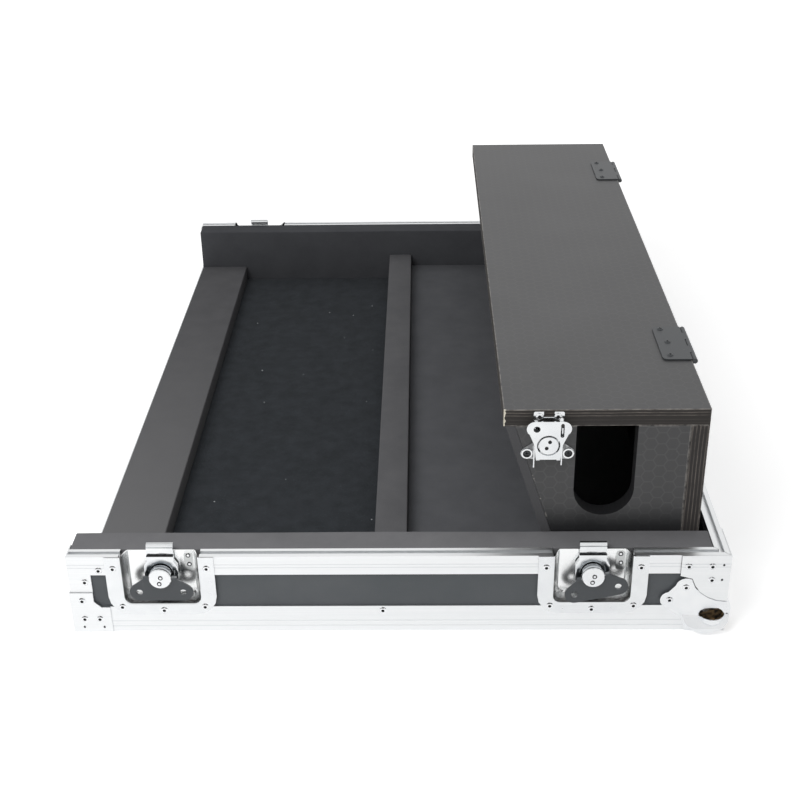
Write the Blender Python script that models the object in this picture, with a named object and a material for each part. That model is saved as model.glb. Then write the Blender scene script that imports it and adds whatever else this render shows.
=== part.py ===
"""Base tray of a flight case for a mixing desk, with its cable box, rotary latches and corner wheels.

The tray lies flat. X runs from the low front to the rear, where the cable box stands.
Y runs across the desk, and the near side is at negative Y. Z is up, and the tray rests on z = 0.
Every piece is drawn in tray coordinates, whose x is 0 at the front face, and hangs on the
empty tray_origin, which puts the middle of the whole case at the world's origin.
Run it in Blender 4.5 with: blender --background --python part.py
"""

import math

import bmesh
import bpy
from mathutils import Matrix, Vector

MM = 0.001
GAP = 0.3 * MM  # clearance between pieces that touch on the real case

# Tray
TRAY_LENGTH = 663 * MM
TRAY_WIDTH = 950 * MM
TRAY_HEIGHT = 92 * MM
WALL_PLY = 9 * MM
FLOOR_PLY = 7 * MM

# Aluminium edging
EDGE_LEG = 31 * MM  # leg of the angle along the tray's bottom edges
EDGE_WALL = 1.5 * MM
RIM_DROP = 22 * MM  # outer leg of the rim extrusion
RIM_INNER_DROP = 16 * MM  # its inner leg
RIM_LIP = 1.4 * MM  # lip over the foam
RIM_ROOF = 5.5 * MM  # from the rim's top down to the panel's top
RIDGE = 5 * MM  # outer ridge that the lid's tongue sits against
GROOVE = 4.8 * MM
GROOVE_DEPTH = 4 * MM
CORNER_LEG = 23.2 * MM  # upright angle on the front corners

# Riveted zinc plates
PLATE = 1.2 * MM
RIVET_SHANK = 2 * MM
FOOT_PLATE_LENGTH = 39 * MM
FOOT_PLATE_HEIGHT = 48.6 * MM
FOOT_PLATE_CHAMFER = 7 * MM
BRACKET_LENGTH = 48 * MM
BRACKET_SHOULDER = 24 * MM  # straight left edge of the rear bracket
BRACKET_ROUND = 37 * MM  # radius of its lower edge
BRACKET_RISE = 6 * MM  # that round's middle above the shoulder

# Foam
LINER = 30 * MM
LINER_EDGE = 1.5 * MM
FRONT_BLOCK_LENGTH = 73 * MM
PAD = 24 * MM
BAR_FRONT = 306 * MM
BAR_WIDTH = 35 * MM
BAR_HEIGHT = 43 * MM
CARPET = 2.6 * MM

# Cable box
BOX_RISE = 140.5 * MM  # lid top above the rim
BOX_SETBACK = 23.8 * MM  # lid's rear edge to the tray's rear face
LID_LENGTH = 201.6 * MM
LID_PLY = 18 * MM
BOX_PLY = 18 * MM
FRONT_PLY = 9 * MM
FRONT_LEAN = math.radians(17.8)
LID_NOSE = 2 * MM  # lid's overhang past the slanted front
SLOT_WIDTH = 60.5 * MM
SLOT_CENTRE_BACK = 99.5 * MM  # slot's centre line to the lid's rear edge
SLOT_BOTTOM_RISE = 19 * MM  # slot's lowest point above the rim

# Lid hinges
HINGE_SETBACKS = {"near": 145.4 * MM, "far": 134.4 * MM}  # hinge's middle to the cable box's end
HINGE_LENGTH = 80 * MM
HINGE_LEAF = 30 * MM
HINGE_BACK_LEAF = 38 * MM
HINGE_SHEET = 1.5 * MM
HINGE_CORNER = 5 * MM
KNUCKLES = 5
KNUCKLE_R = 2.9 * MM
KNUCKLE_NOTCH_R = 4.1 * MM  # round notch that each leaf leaves for the other's knuckles
HINGE_PIN_R = 1.1 * MM
HINGE_OUT = 3.3 * MM  # pin axis behind the lid's rear edge
HINGE_DOWN = 0.9 * MM  # pin axis below the lid's top, so that the knuckles end level with the leaf

# Recessed rotary latches in the long sides
LATCH_FRONT = 94 * MM  # boss axis from the front face
LATCH_REAR_BACK = 135 * MM  # boss axis from the rear face
BOSS_DROP = 23.6 * MM  # boss axis below the rim
DISH_WIDTH = 76.5 * MM
DISH_HEIGHT = 56 * MM
DISH_CORNER = 8 * MM
DISH_TAPER = 4 * MM
DISH_BEND = 1.6 * MM
DISH_SIDE_FLANGE = 16.7 * MM
DISH_FOOT_FLANGE = 13.5 * MM
FLANGE_CORNER = 22 * MM
TAB_START = 23.5 * MM  # padlock tab's inner edge from the boss axis
TAB_WIDTH = 8.9 * MM
TAB_RISE = 22 * MM
TAB_THICK = 3 * MM
BOSS_R = 11.5 * MM
BOSS_PROUD = 5.5 * MM
HOOK_WIDTH = 27 * MM
HOOK_SHOULDER = 34 * MM
HOOK_SHEET = 1.5 * MM
HOOK_DEPTH = 8.7 * MM  # front of the hook plate behind the wall face
HOOK_REACH = 8.8 * MM  # top of the hook above the rim
HOOK_LIP = 6 * MM
HOOK_TRAVEL = 8 * MM
WING_SHEET = 2 * MM
WING_STAND = 2 * MM  # wing's back in front of the wall face
WING_HOLE_SPREAD = 22.2 * MM
WING_HOLE_DROP = 16.9 * MM
WING_HOLE_R = 3.5 * MM
WING_LOBE_R = 9.9 * MM
WING_PIN_R = 1.1 * MM
WING_KNUCKLE_R = 2.3 * MM
WING_KNUCKLE_LENGTH = 5 * MM
NEAR_REAR_WING_TURN = math.radians(13)

# Surface rotary latches on the ends of the cable box
BOX_LATCH_BACK = 157.5 * MM  # boss axis to the lid's rear edge
BOX_BOSS_DROP = 35.5 * MM  # boss axis below the lid's top
BOX_BOSS_R = 9.9 * MM
BOX_SHAFT_R = 5 * MM
BOX_CHANNEL_WIDTH = 28.4 * MM
BOX_CHANNEL_DEPTH = 4.6 * MM
BOX_CHANNEL_TOP = 17.5 * MM  # above the boss axis
BOX_PLATE_FOOT = 17.3 * MM  # its back plate ends here below the boss axis
BOX_LEGS = {"left": 27 * MM, "right": 24.5 * MM}  # its two side walls run on to here
BOX_EAR_SPREAD = 20.4 * MM
BOX_EAR_DROP = 12.4 * MM
BOX_EAR_R = 6.5 * MM
BOX_RING_R = 5.6 * MM
BOX_RING_PROUD = 2.8 * MM
BOX_SCREW_R = 4.1 * MM
BOX_HOOK_STAND = 3.5 * MM
BOX_HOOK_WIDTH = 20 * MM
BOX_HOOK_TOP = 18 * MM
BOX_HOOK_TRAVEL = 8 * MM
BOX_CARRIER_STAND = 5.6 * MM
BOX_WING_STAND = 7.4 * MM
BOX_WING_SHEET = 1.4 * MM
BOX_WING_TOP = 27.2 * MM
BOX_WING_FOOT = 15.6 * MM
BOX_WING_HALF = 22 * MM
BOX_WING_SHOULDER_Z = 18.8 * MM
BOX_WING_SHOULDER_R = 8 * MM
BOX_WING_NECK = 14 * MM
BOX_WING_FOOT_HALF = 12 * MM
BOX_WING_EYE_R = 11.4 * MM
BOX_WING_HOLE_X = 12 * MM  # round padlock hole left of the boss axis
BOX_WING_HOLE_R = 3.4 * MM
BOX_WING_SLOT_X = 13 * MM
BOX_WING_SLOT_R = 1.8 * MM
BOX_WING_SLOT_HALF = 6 * MM
BOX_WING_PIN_DEPTH = 1.2 * MM  # wing's pin axis behind the middle of its sheet
BOX_WING_PIN_R = 0.9 * MM
BOX_WING_KNUCKLE_R = 1.9 * MM
BOX_TONGUE_HALF = 8 * MM
KEEPER_WIDTH = 30 * MM
KEEPER_HEIGHT = 10.4 * MM
KEEPER_TOP_DROP = 1.2 * MM
KEEPER_SHEET = 1.6 * MM
KEEPER_WINDOW = 10.5 * MM
KEEPER_BAR = 4.6 * MM
KEEPER_BAR_PROUD = 2.8 * MM

# Corner wheels
WHEEL_BACK = 18.5 * MM  # axle to the tray's rear face
WHEEL_R = 24.6 * MM
WHEEL_WIDTH = 16 * MM
WHEEL_Z = 25.5 * MM
AXLE_R = 4 * MM
CHEEK_R = 25.2 * MM  # round cheek of the cover, just outside the wheel
CHEEK_IN = 0.9 * MM
HOOD_FORWARD = 5.8 * MM  # hood's middle behind the axle
HOOD_LIP_Z = 20.4 * MM  # flat top of the hood
HOOD_PROUD = 12 * MM
HOOD_R = 14.85 * MM  # round of the hood, seen from above
HOOD_DROP = 20.2 * MM
DOME_R = 24.5 * MM  # round of the dome under the hood, seen from the side
DOME_EDGE = 5 * MM
DOME_TOP_Z = 19.7 * MM  # its sloping face leaves the plate here
DOME_FULL_Z = 10 * MM  # and is as proud as the hood from here down
WINDOW = (  # eye over the wheel, measured from the middle of the hood's lip
    (-13.4 * MM, 0.6 * MM), (-11.9 * MM, 4.5 * MM), (-8 * MM, 7.2 * MM), (-3 * MM, 7.9 * MM),
    (6.5 * MM, 7.6 * MM), (10 * MM, 5.1 * MM), (13.2 * MM, 0.6 * MM),
)
COVER_LOBES = (((-38.2 * MM, 13.3 * MM), 9.5 * MM), ((-22.8 * MM, 28.7 * MM), 10.6 * MM))
COVER_STEP = (25.4 * MM, 8.5 * MM)  # corner under the lobes, forward of the axle and below it
COVER_FOOT = 20 * MM  # lowest corner of the flat plate forward of the axle
JOGGLE_R = 17 * MM  # raised round that ties the plate to the cheek
JOGGLE_Z = 19 * MM
CUP_BACK_R = 9 * MM
CUP_STEP = 0.15 * MM  # the cup's wall stands this far inside its cheek and back
COVER_CLEAR = 1 * MM  # between the cover and the arc of the corner bracket

# Worked out from the sizes above
HALF_WIDTH = TRAY_WIDTH / 2
SHEET_IN = EDGE_WALL + GAP  # panels start this far inside the edging
PANEL_IN = SHEET_IN + WALL_PLY  # inner face of the side and rear panels
RIM_WIDTH = PANEL_IN + GAP + EDGE_WALL + RIM_LIP
LINER_OUT = RIM_WIDTH + GAP
LINER_IN = LINER_OUT + LINER
PANEL_TOP = TRAY_HEIGHT - RIM_ROOF - GAP
FLOOR_TOP = SHEET_IN + FLOOR_PLY
ON_FLOOR = FLOOR_TOP + GAP
BAR_REAR = BAR_FRONT + BAR_WIDTH
LID_TOP = TRAY_HEIGHT + BOX_RISE
LID_BOTTOM = LID_TOP - LID_PLY
LID_REAR = TRAY_LENGTH - BOX_SETBACK
LID_FRONT = LID_REAR - LID_LENGTH
BOX_TOP = LID_BOTTOM - GAP
BOX_IN = LINER_IN + GAP  # ends of the cable box from the tray's outer faces
FRONT_FACE_TOP = LID_FRONT + LID_NOSE
FRONT_THICK_X = FRONT_PLY / math.cos(FRONT_LEAN)
SLOT_X = LID_REAR - SLOT_CENTRE_BACK
SLOT_R = SLOT_WIDTH / 2
SLOT_ARC_Z = TRAY_HEIGHT + SLOT_BOTTOM_RISE + SLOT_R
HINGE_X = LID_REAR + HINGE_OUT
HINGE_Z = LID_TOP - HINGE_DOWN
LATCH_XS = {"front": LATCH_FRONT, "rear": TRAY_LENGTH - LATCH_REAR_BACK}
BOSS_Z = TRAY_HEIGHT - BOSS_DROP
DISH_FLOOR_Z = TRAY_HEIGHT - DISH_HEIGHT
DISH_DEPTH = RIM_WIDTH - PLATE / 2
DISH_CUT_HALF = DISH_WIDTH / 2 + PLATE + MM  # clears the bend at the flange
DISH_CUT_FLOOR = DISH_FLOOR_Z - PLATE - GAP
PLATE_MIDDLE = GAP + PLATE / 2
PLATE_FACE = GAP + PLATE
WING_AXIS_OUT = WING_STAND + WING_SHEET / 2
WING_PIN_REACH = BOSS_R + GAP + WING_KNUCKLE_LENGTH
BOX_LATCH_X = LID_REAR - BOX_LATCH_BACK
BOX_BOSS_Z = LID_TOP - BOX_BOSS_DROP
BOX_WING_AXIS_OUT = BOX_WING_STAND + BOX_WING_SHEET / 2 - BOX_WING_PIN_DEPTH
WHEEL_X = TRAY_LENGTH - WHEEL_BACK
WHEEL_OUT = CHEEK_IN + GAP  # wheel's outer side from the tray's outer face
WHEEL_IN = WHEEL_OUT + WHEEL_WIDTH
HOOD_X = WHEEL_X + HOOD_FORWARD
WELL_R = CHEEK_R + 1.6 * MM
CUP_R = WELL_R - GAP
CUP_IN = WHEEL_IN + GAP + PLATE
WELL_IN = CUP_IN + GAP
REAR_REACH = WHEEL_X + CHEEK_R
ORIGIN_X = -(REAR_REACH - PLATE_FACE) / 2

SIDES = {"near": -1, "far": 1}
FINE_STEP = 15  # degrees between points on small arcs
BOLD = 28  # sides of the larger round pieces
SMALL = 12  # sides of pins and rivets


def clear_scene():
    for thing in list(bpy.data.objects):
        bpy.data.objects.remove(thing, do_unlink=True)


def linear(channel):
    return channel / 12.92 if channel <= 0.04045 else ((channel + 0.055) / 1.055) ** 2.4


def finish(name, colour, roughness, metallic=0.0):
    """A plain Principled material; colour is an sRGB hex string."""
    made = bpy.data.materials.new(name)
    made.use_nodes = True
    shader = made.node_tree.nodes["Principled BSDF"]
    rgb = [linear(int(colour[i : i + 2], 16) / 255) for i in (0, 2, 4)]
    shader.inputs["Base Color"].default_value = (*rgb, 1)
    shader.inputs["Roughness"].default_value = roughness
    shader.inputs["Metallic"].default_value = metallic
    made.diffuse_color = (*rgb, 1)
    return made


def arc(centre, radius, start, end, step=FINE_STEP):
    """Points on an arc, angles in degrees, in the plane of the outline."""
    count = max(2, math.ceil(abs(end - start) / step))
    turns = [math.radians(start + (end - start) * i / count) for i in range(count + 1)]
    return [(centre[0] + radius * math.cos(t), centre[1] + radius * math.sin(t)) for t in turns]


def rectangle(left, right, bottom, top):
    return [(left, bottom), (right, bottom), (right, top), (left, top)]


def rounded(left, right, bottom, top, radius, step=30):
    """Rectangle with round corners."""
    corners = (
        ((right - radius, bottom + radius), -90, 0),
        ((right - radius, top - radius), 0, 90),
        ((left + radius, top - radius), 90, 180),
        ((left + radius, bottom + radius), 180, 270),
    )
    return [point for centre, start, end in corners for point in arc(centre, radius, start, end, step)]


def new_object(name, mesh_work, look=None):
    bmesh.ops.recalc_face_normals(mesh_work, faces=mesh_work.faces)
    mesh = bpy.data.meshes.new(name)
    mesh_work.to_mesh(mesh)
    mesh_work.free()
    made = bpy.data.objects.new(name, mesh)
    bpy.context.scene.collection.objects.link(made)
    if look:
        mesh.materials.append(look)
    return made


AXES = {"X": (1, 2, 0), "Y": (0, 2, 1), "Z": (0, 1, 2)}


def prism(name, outline, along, low, high, look=None):
    """Outline extruded along one axis, from low to high."""
    first, second, third = AXES[along]
    work = bmesh.new()
    points = []
    for a, b in outline:
        place = [0, 0, 0]
        place[first], place[second], place[third] = a, b, min(low, high)
        points.append(work.verts.new(place))
    base = work.faces.new(points)
    raised = bmesh.ops.extrude_face_region(work, geom=[base])["geom"]
    step = [0, 0, 0]
    step[third] = abs(high - low)
    bmesh.ops.translate(work, vec=step, verts=[v for v in raised if isinstance(v, bmesh.types.BMVert)])
    return new_object(name, work, look)


def turned(name, profile, centre, side, look=None, sides=BOLD):
    """Solid of revolution about Y. The profile's points are (radius, distance outward from the face)."""
    work = bmesh.new()
    points = [work.verts.new((centre[0] + r, wall_y(side, -out), centre[1])) for r, out in profile]
    edges = [work.edges.new(pair) for pair in zip(points, points[1:])]
    if profile[0][0] > 0:
        edges.append(work.edges.new((points[-1], points[0])))
    bmesh.ops.spin(
        work, geom=points + edges, cent=(centre[0], 0, centre[1]), axis=(0, 1, 0),
        angle=2 * math.pi, steps=sides, use_merge=True,
    )
    bmesh.ops.remove_doubles(work, verts=work.verts, dist=MM / 1000)
    return new_object(name, work, look)


def rod(name, centre, radius, along, low, high, look=None, sides=SMALL):
    return prism(name, arc(centre, radius, 0, 360 * (1 - 1 / sides), 360 / sides), along, low, high, look)


def wall_y(side, inset):
    """World Y at a distance inside the outer face of one long side; a negative inset is proud of it."""
    return SIDES[side] * (HALF_WIDTH - inset)


def box_y(side, out):
    """World Y at a distance outward from the cable box's end."""
    return SIDES[side] * (HALF_WIDTH - BOX_IN + out)


def helper(tool, target):
    tool.hide_render = True
    tool.display_type = "WIRE"
    tool.parent = target


def combine(target, tool, operation):
    helper(tool, target)
    step = target.modifiers.new(tool.name, "BOOLEAN")
    step.operation = operation
    step.object = tool


def cut(target, tool):
    combine(target, tool, "DIFFERENCE")


def weld(target, tool):
    combine(target, tool, "UNION")


def bevel(target, width, segments=1, angle=40):
    step = target.modifiers.new("edges", "BEVEL")
    step.width = width
    step.segments = segments
    step.limit_method = "ANGLE"
    step.angle_limit = math.radians(angle)


def smooth(target, angle=35):
    target.data.shade_smooth()
    target.data.set_sharp_from_angle(angle=math.radians(angle))


def hang(target, parent, pivot, parent_pivot=Vector((0, 0, 0))):
    """Moves the object's origin onto its pivot, given in tray coordinates, and parents it."""
    pivot = Vector(pivot)
    target.data.transform(Matrix.Translation(-pivot))
    for tool in target.children:
        if tool.hide_render:
            tool.location -= pivot
    target.parent = parent
    target.location = pivot - Vector(parent_pivot)


def mitred(name, profile, length, place, look, mitres=(True, True)):
    """Extrusion of a (depth, height) profile along one edge of the tray, its ends cut at 45 degrees."""
    work = bmesh.new()
    rows = []
    for end, mitre in zip((0, length), mitres):
        inward = 1 if end == 0 else -1
        row = []
        for depth, height in profile:
            along = end + inward * (depth + GAP if mitre else 0)
            row.append(work.verts.new(place(along, depth, height)))
        rows.append(row)
    for i in range(len(profile)):
        j = (i + 1) % len(profile)
        work.faces.new((rows[0][i], rows[0][j], rows[1][j], rows[1][i]))
    work.faces.new(rows[0])
    work.faces.new(rows[1])
    return new_object(name, work, look)


def along_side(side):
    return lambda along, depth, height: (along, wall_y(side, depth), height)


def along_front(along, depth, height):
    return (depth, along - HALF_WIDTH, height)


def along_rear(along, depth, height):
    return (TRAY_LENGTH - depth, along - HALF_WIDTH, height)


def edge_profile():
    return [
        (0, 0), (EDGE_LEG, 0), (EDGE_LEG, EDGE_WALL),
        (EDGE_WALL, EDGE_WALL), (EDGE_WALL, EDGE_LEG), (0, EDGE_LEG),
    ]


def rim_profile():
    """Lower half of a tongue and groove pair, open below for the panel."""
    top = TRAY_HEIGHT
    groove_floor = top - GROOVE_DEPTH
    roof = top - RIM_ROOF
    inner = PANEL_IN + GAP + EDGE_WALL
    return [
        (0, top - RIM_DROP), (0, top), (RIDGE, top), (RIDGE, groove_floor),
        (RIDGE + GROOVE, groove_floor), (RIDGE + GROOVE, top), (RIM_WIDTH, top),
        (RIM_WIDTH, top - 2.5 * MM), (inner, top - 2.5 * MM), (inner, top - RIM_INNER_DROP),
        (inner - EDGE_WALL, top - RIM_INNER_DROP), (inner - EDGE_WALL, roof),
        (EDGE_WALL, roof), (EDGE_WALL, top - RIM_DROP),
    ]


def wheel_well(name, side):
    """D-shaped clearance for a corner wheel, cut through everything behind its cover."""
    outline = arc((WHEEL_X, WHEEL_Z), WELL_R, 90, 270, 10)
    beyond = TRAY_LENGTH + 5 * MM
    outline += [(beyond, WHEEL_Z - WELL_R), (beyond, WHEEL_Z + WELL_R)]
    return prism(name, outline, "Y", wall_y(side, -5 * MM), wall_y(side, WELL_IN))


def dish_opening(name, side, x, inset_low, inset_high, top):
    """Clearance for a latch dish, open at the top."""
    radius = DISH_CORNER + PLATE
    outline = [(x - DISH_CUT_HALF, top)]
    outline += arc((x - DISH_CUT_HALF + radius, DISH_CUT_FLOOR + radius), radius, 180, 270, 30)
    outline += arc((x + DISH_CUT_HALF - radius, DISH_CUT_FLOOR + radius), radius, 270, 360, 30)
    outline += [(x + DISH_CUT_HALF, top)]
    return prism(name, outline, "Y", wall_y(side, inset_low), wall_y(side, inset_high))


def build_floor(looks, origin):
    floor = prism(
        "floor_panel", rectangle(SHEET_IN, TRAY_LENGTH - PANEL_IN - GAP, SHEET_IN, FLOOR_TOP), "Y",
        wall_y("near", PANEL_IN + GAP), wall_y("far", PANEL_IN + GAP), looks["ply"],
    )
    for side in SIDES:
        cut(floor, wheel_well(f"floor_{side}_well", side))
    hang(floor, origin, (0, 0, 0))


def build_walls(looks, origin):
    for side in SIDES:
        panel = prism(
            f"{side}_side_panel", rectangle(SHEET_IN, TRAY_LENGTH - SHEET_IN, SHEET_IN, PANEL_TOP), "Y",
            wall_y(side, SHEET_IN), wall_y(side, PANEL_IN), looks["laminate"],
        )
        for place, x in LATCH_XS.items():
            cut(panel, dish_opening(f"{side}_{place}_panel_opening", side, x, 0, LINER_OUT, TRAY_HEIGHT))
        cut(panel, wheel_well(f"{side}_panel_well", side))
        hang(panel, origin, (0, 0, 0))
    rear = prism(
        "rear_end_panel",
        rectangle(TRAY_LENGTH - PANEL_IN, TRAY_LENGTH - SHEET_IN, SHEET_IN, PANEL_TOP), "Y",
        wall_y("near", PANEL_IN + GAP), wall_y("far", PANEL_IN + GAP), looks["laminate"],
    )
    for side in SIDES:
        cut(rear, wheel_well(f"rear_{side}_well", side))
    hang(rear, origin, (0, 0, 0))


def build_base_edges(looks, origin):
    edges = {
        "front_base_edge": (TRAY_WIDTH, along_front, ()),
        "rear_base_edge": (TRAY_WIDTH, along_rear, ("near", "far")),
        "near_base_edge": (TRAY_LENGTH, along_side("near"), ("near",)),
        "far_base_edge": (TRAY_LENGTH, along_side("far"), ("far",)),
    }
    for name, (length, place, wells) in edges.items():
        edge = mitred(name, edge_profile(), length, place, looks["aluminium"])
        for side in wells:
            cut(edge, wheel_well(f"{name}_{side}_well", side))
        hang(edge, origin, (0, 0, 0))


def rivet(target, name, x, z, side):
    """Shank that ties a zinc plate to the aluminium behind it."""
    weld(target, rod(name, (x, z), RIVET_SHANK, "Y", wall_y(side, EDGE_WALL / 2), wall_y(side, -PLATE_MIDDLE)))


def build_front_corner(side, rim, looks):
    """Upright angle on the front corner and the zinc plate over its foot, both carried by the front rim."""
    low = EDGE_LEG + GAP
    side_leg = rectangle(0, CORNER_LEG, low, TRAY_HEIGHT - RIM_DROP / 2)
    weld(rim, prism(f"{side}_corner_side_leg", side_leg, "Y", wall_y(side, 0), wall_y(side, EDGE_WALL)))
    end_leg = prism(
        f"{side}_corner_end_leg", rectangle(0, EDGE_WALL, low, TRAY_HEIGHT), "Y",
        wall_y(side, 0), wall_y(side, CORNER_LEG),
    )
    weld(rim, end_leg)
    plate = [
        (-PLATE_FACE, 0), (FOOT_PLATE_LENGTH, 0), (FOOT_PLATE_LENGTH, EDGE_LEG),
        (CORNER_LEG + FOOT_PLATE_CHAMFER, EDGE_LEG), (CORNER_LEG, EDGE_LEG + FOOT_PLATE_CHAMFER),
        (CORNER_LEG, FOOT_PLATE_HEIGHT), (-PLATE_FACE, FOOT_PLATE_HEIGHT),
    ]
    weld(rim, prism(f"{side}_foot_plate", plate, "Y", wall_y(side, -GAP), wall_y(side, -PLATE_FACE)))
    wrap = prism(
        f"{side}_foot_plate_wrap", rectangle(-PLATE_FACE, -GAP, 0, FOOT_PLATE_HEIGHT), "Y",
        wall_y(side, -PLATE_FACE), wall_y(side, CORNER_LEG),
    )
    weld(rim, wrap)
    rivet(rim, f"{side}_foot_rivet", CORNER_LEG / 2, FOOT_PLATE_HEIGHT - 9 * MM, side)


def bracket_outline(back, sign=1):
    """Rear corner bracket, flat: its lower edge is an arc about a point on the rear edge."""
    rear = back + sign * PLATE_FACE
    arc_z = TRAY_HEIGHT - BRACKET_SHOULDER + BRACKET_RISE
    corner = (back, arc_z)
    lowest = [(rear, arc_z - BRACKET_ROUND)]
    sweep = [(back - sign * BRACKET_ROUND * math.cos(math.radians(t)),
              corner[1] - BRACKET_ROUND * math.sin(math.radians(t))) for t in range(90, 5, -15)]
    left = back - sign * BRACKET_LENGTH
    shoulder = TRAY_HEIGHT - BRACKET_SHOULDER
    return [(rear, TRAY_HEIGHT)] + lowest + sweep + [(left, shoulder), (left, TRAY_HEIGHT)]


def build_rear_corner(side, rim, looks):
    """Zinc bracket over the rear upper corner, carried by the rear stretch of the side rim."""
    sheet = (wall_y(side, -GAP), wall_y(side, -PLATE_FACE))
    weld(rim, prism(f"{side}_bracket", bracket_outline(TRAY_LENGTH), "Y", *sheet))
    sign = SIDES[side]
    wrap = prism(
        f"{side}_bracket_wrap", bracket_outline(wall_y(side, 0), sign), "X",
        TRAY_LENGTH + GAP, TRAY_LENGTH + PLATE_FACE,
    )
    room = rod(
        f"{side}_bracket_room", (WHEEL_X, WHEEL_Z), WELL_R, "Y", wall_y(side, -GAP), wall_y(side, WELL_IN), sides=BOLD,
    )
    cut(wrap, room)
    weld(rim, wrap)
    rivet(rim, f"{side}_bracket_rivet", TRAY_LENGTH - 40.6 * MM, TRAY_HEIGHT - 12.6 * MM, side)


def build_rims(looks, origin):
    front_end = LATCH_XS["front"] - DISH_CUT_HALF
    rear_start = LATCH_XS["rear"] + DISH_CUT_HALF
    for side in SIDES:
        def place(start):
            return lambda along, depth, height: (start + along, wall_y(side, depth), height)

        front = mitred(f"{side}_front_rim", rim_profile(), front_end, place(0), looks["aluminium"], (False, False))
        build_front_corner(side, front, looks)
        middle_start = LATCH_XS["front"] + DISH_CUT_HALF
        middle_length = LATCH_XS["rear"] - DISH_CUT_HALF - middle_start
        middle = mitred(
            f"{side}_middle_rim", rim_profile(), middle_length, place(middle_start),
            looks["aluminium"], (False, False),
        )
        rear = mitred(
            f"{side}_rear_rim", rim_profile(), TRAY_LENGTH - rear_start, place(rear_start),
            looks["aluminium"], (False, True),
        )
        build_rear_corner(side, rear, looks)
        for stretch in (front, middle, rear):
            hang(stretch, origin, (0, 0, 0))
    rear_rim = mitred("rear_rim", rim_profile(), TRAY_WIDTH, along_rear, looks["aluminium"])
    hang(rear_rim, origin, (0, 0, 0))


def build_foam(looks, origin):
    rebate = TRAY_HEIGHT - RIM_INNER_DROP - GAP
    wide = PANEL_IN + GAP
    profile = [
        (wide, ON_FLOOR), (LINER_IN, ON_FLOOR), (LINER_IN, TRAY_HEIGHT - LINER_EDGE),
        (LINER_IN - LINER_EDGE, TRAY_HEIGHT), (LINER_OUT, TRAY_HEIGHT), (LINER_OUT, rebate), (wide, rebate),
    ]
    front, rear = SHEET_IN, TRAY_LENGTH - RIM_WIDTH - GAP
    for side in SIDES:
        outline = [(wall_y(side, depth), height) for depth, height in profile]
        liner = prism(f"{side}_liner", outline, "X", front, rear, looks["foam"])
        for place, x in LATCH_XS.items():
            cut(liner, dish_opening(f"{side}_{place}_liner_pocket", side, x, 0, LINER_OUT, rebate + 2 * MM))
        cut(liner, wheel_well(f"{side}_liner_well", side))
        hang(liner, origin, (0, 0, 0))
    span = (wall_y("near", LINER_IN + GAP), wall_y("far", LINER_IN + GAP))
    foot = box_front_x(ON_FLOOR) - GAP
    pad_top = ON_FLOOR + PAD
    pad_shoulder = box_front_x(pad_top - LINER_EDGE) - GAP
    blocks = {
        "front_block": (rectangle(front, FRONT_BLOCK_LENGTH, ON_FLOOR, ON_FLOOR + PAD), "foam", LINER_EDGE),
        "centre_bar": (rectangle(BAR_FRONT, BAR_REAR, ON_FLOOR, ON_FLOOR + BAR_HEIGHT), "foam", LINER_EDGE),
        "rear_pad": (
            [(BAR_REAR + GAP, ON_FLOOR), (foot, ON_FLOOR), (pad_shoulder, pad_top - LINER_EDGE),
             (pad_shoulder - LINER_EDGE, pad_top), (BAR_REAR + GAP, pad_top)], "foam", 0,
        ),
        "bay_carpet": (
            rectangle(FRONT_BLOCK_LENGTH + GAP, BAR_FRONT - GAP, ON_FLOOR, ON_FLOOR + CARPET), "carpet", 0,
        ),
    }
    for name, (outline, look, edge) in blocks.items():
        block = prism(name, outline, "Y", *span, looks[look])
        if edge:
            bevel(block, edge / 2)
        hang(block, origin, (0, 0, 0))


def box_front_x(z):
    """Outer face of the cable box's slanted front at a height."""
    return FRONT_FACE_TOP + (BOX_TOP - z) * math.tan(FRONT_LEAN)


def build_cable_box(looks, origin):
    ends = (wall_y("near", BOX_IN), wall_y("far", BOX_IN))
    back = prism(
        "box_back", rectangle(LID_REAR - BOX_PLY, LID_REAR, ON_FLOOR, BOX_TOP), "Y", *ends, looks["ply"],
    )
    hang(back, origin, (0, 0, 0))
    slope = [
        (box_front_x(ON_FLOOR), ON_FLOOR), (box_front_x(ON_FLOOR) + FRONT_THICK_X, ON_FLOOR),
        (box_front_x(BOX_TOP) + FRONT_THICK_X, BOX_TOP), (box_front_x(BOX_TOP), BOX_TOP),
    ]
    front = prism("box_front", slope, "Y", *ends, looks["ply"])
    hang(front, origin, (0, 0, 0))
    inner = FRONT_THICK_X + GAP
    between = [
        (box_front_x(ON_FLOOR) + inner, ON_FLOOR), (LID_REAR - BOX_PLY - GAP, ON_FLOOR),
        (LID_REAR - BOX_PLY - GAP, BOX_TOP), (box_front_x(BOX_TOP) + inner, BOX_TOP),
    ]
    for side in SIDES:
        end = prism(f"box_{side}_end", between, "Y", box_y(side, 0), box_y(side, -BOX_PLY), looks["film"])
        slot = arc((SLOT_X, SLOT_ARC_Z), SLOT_R, 180, 360, 12)
        slot += [(SLOT_X + SLOT_R, BOX_TOP + 5 * MM), (SLOT_X - SLOT_R, BOX_TOP + 5 * MM)]
        tool = prism(f"box_{side}_slot", slot, "Y", box_y(side, 5 * MM), box_y(side, -BOX_PLY - 5 * MM))
        cut(end, tool)
        hang(end, origin, (0, 0, 0))


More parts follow.
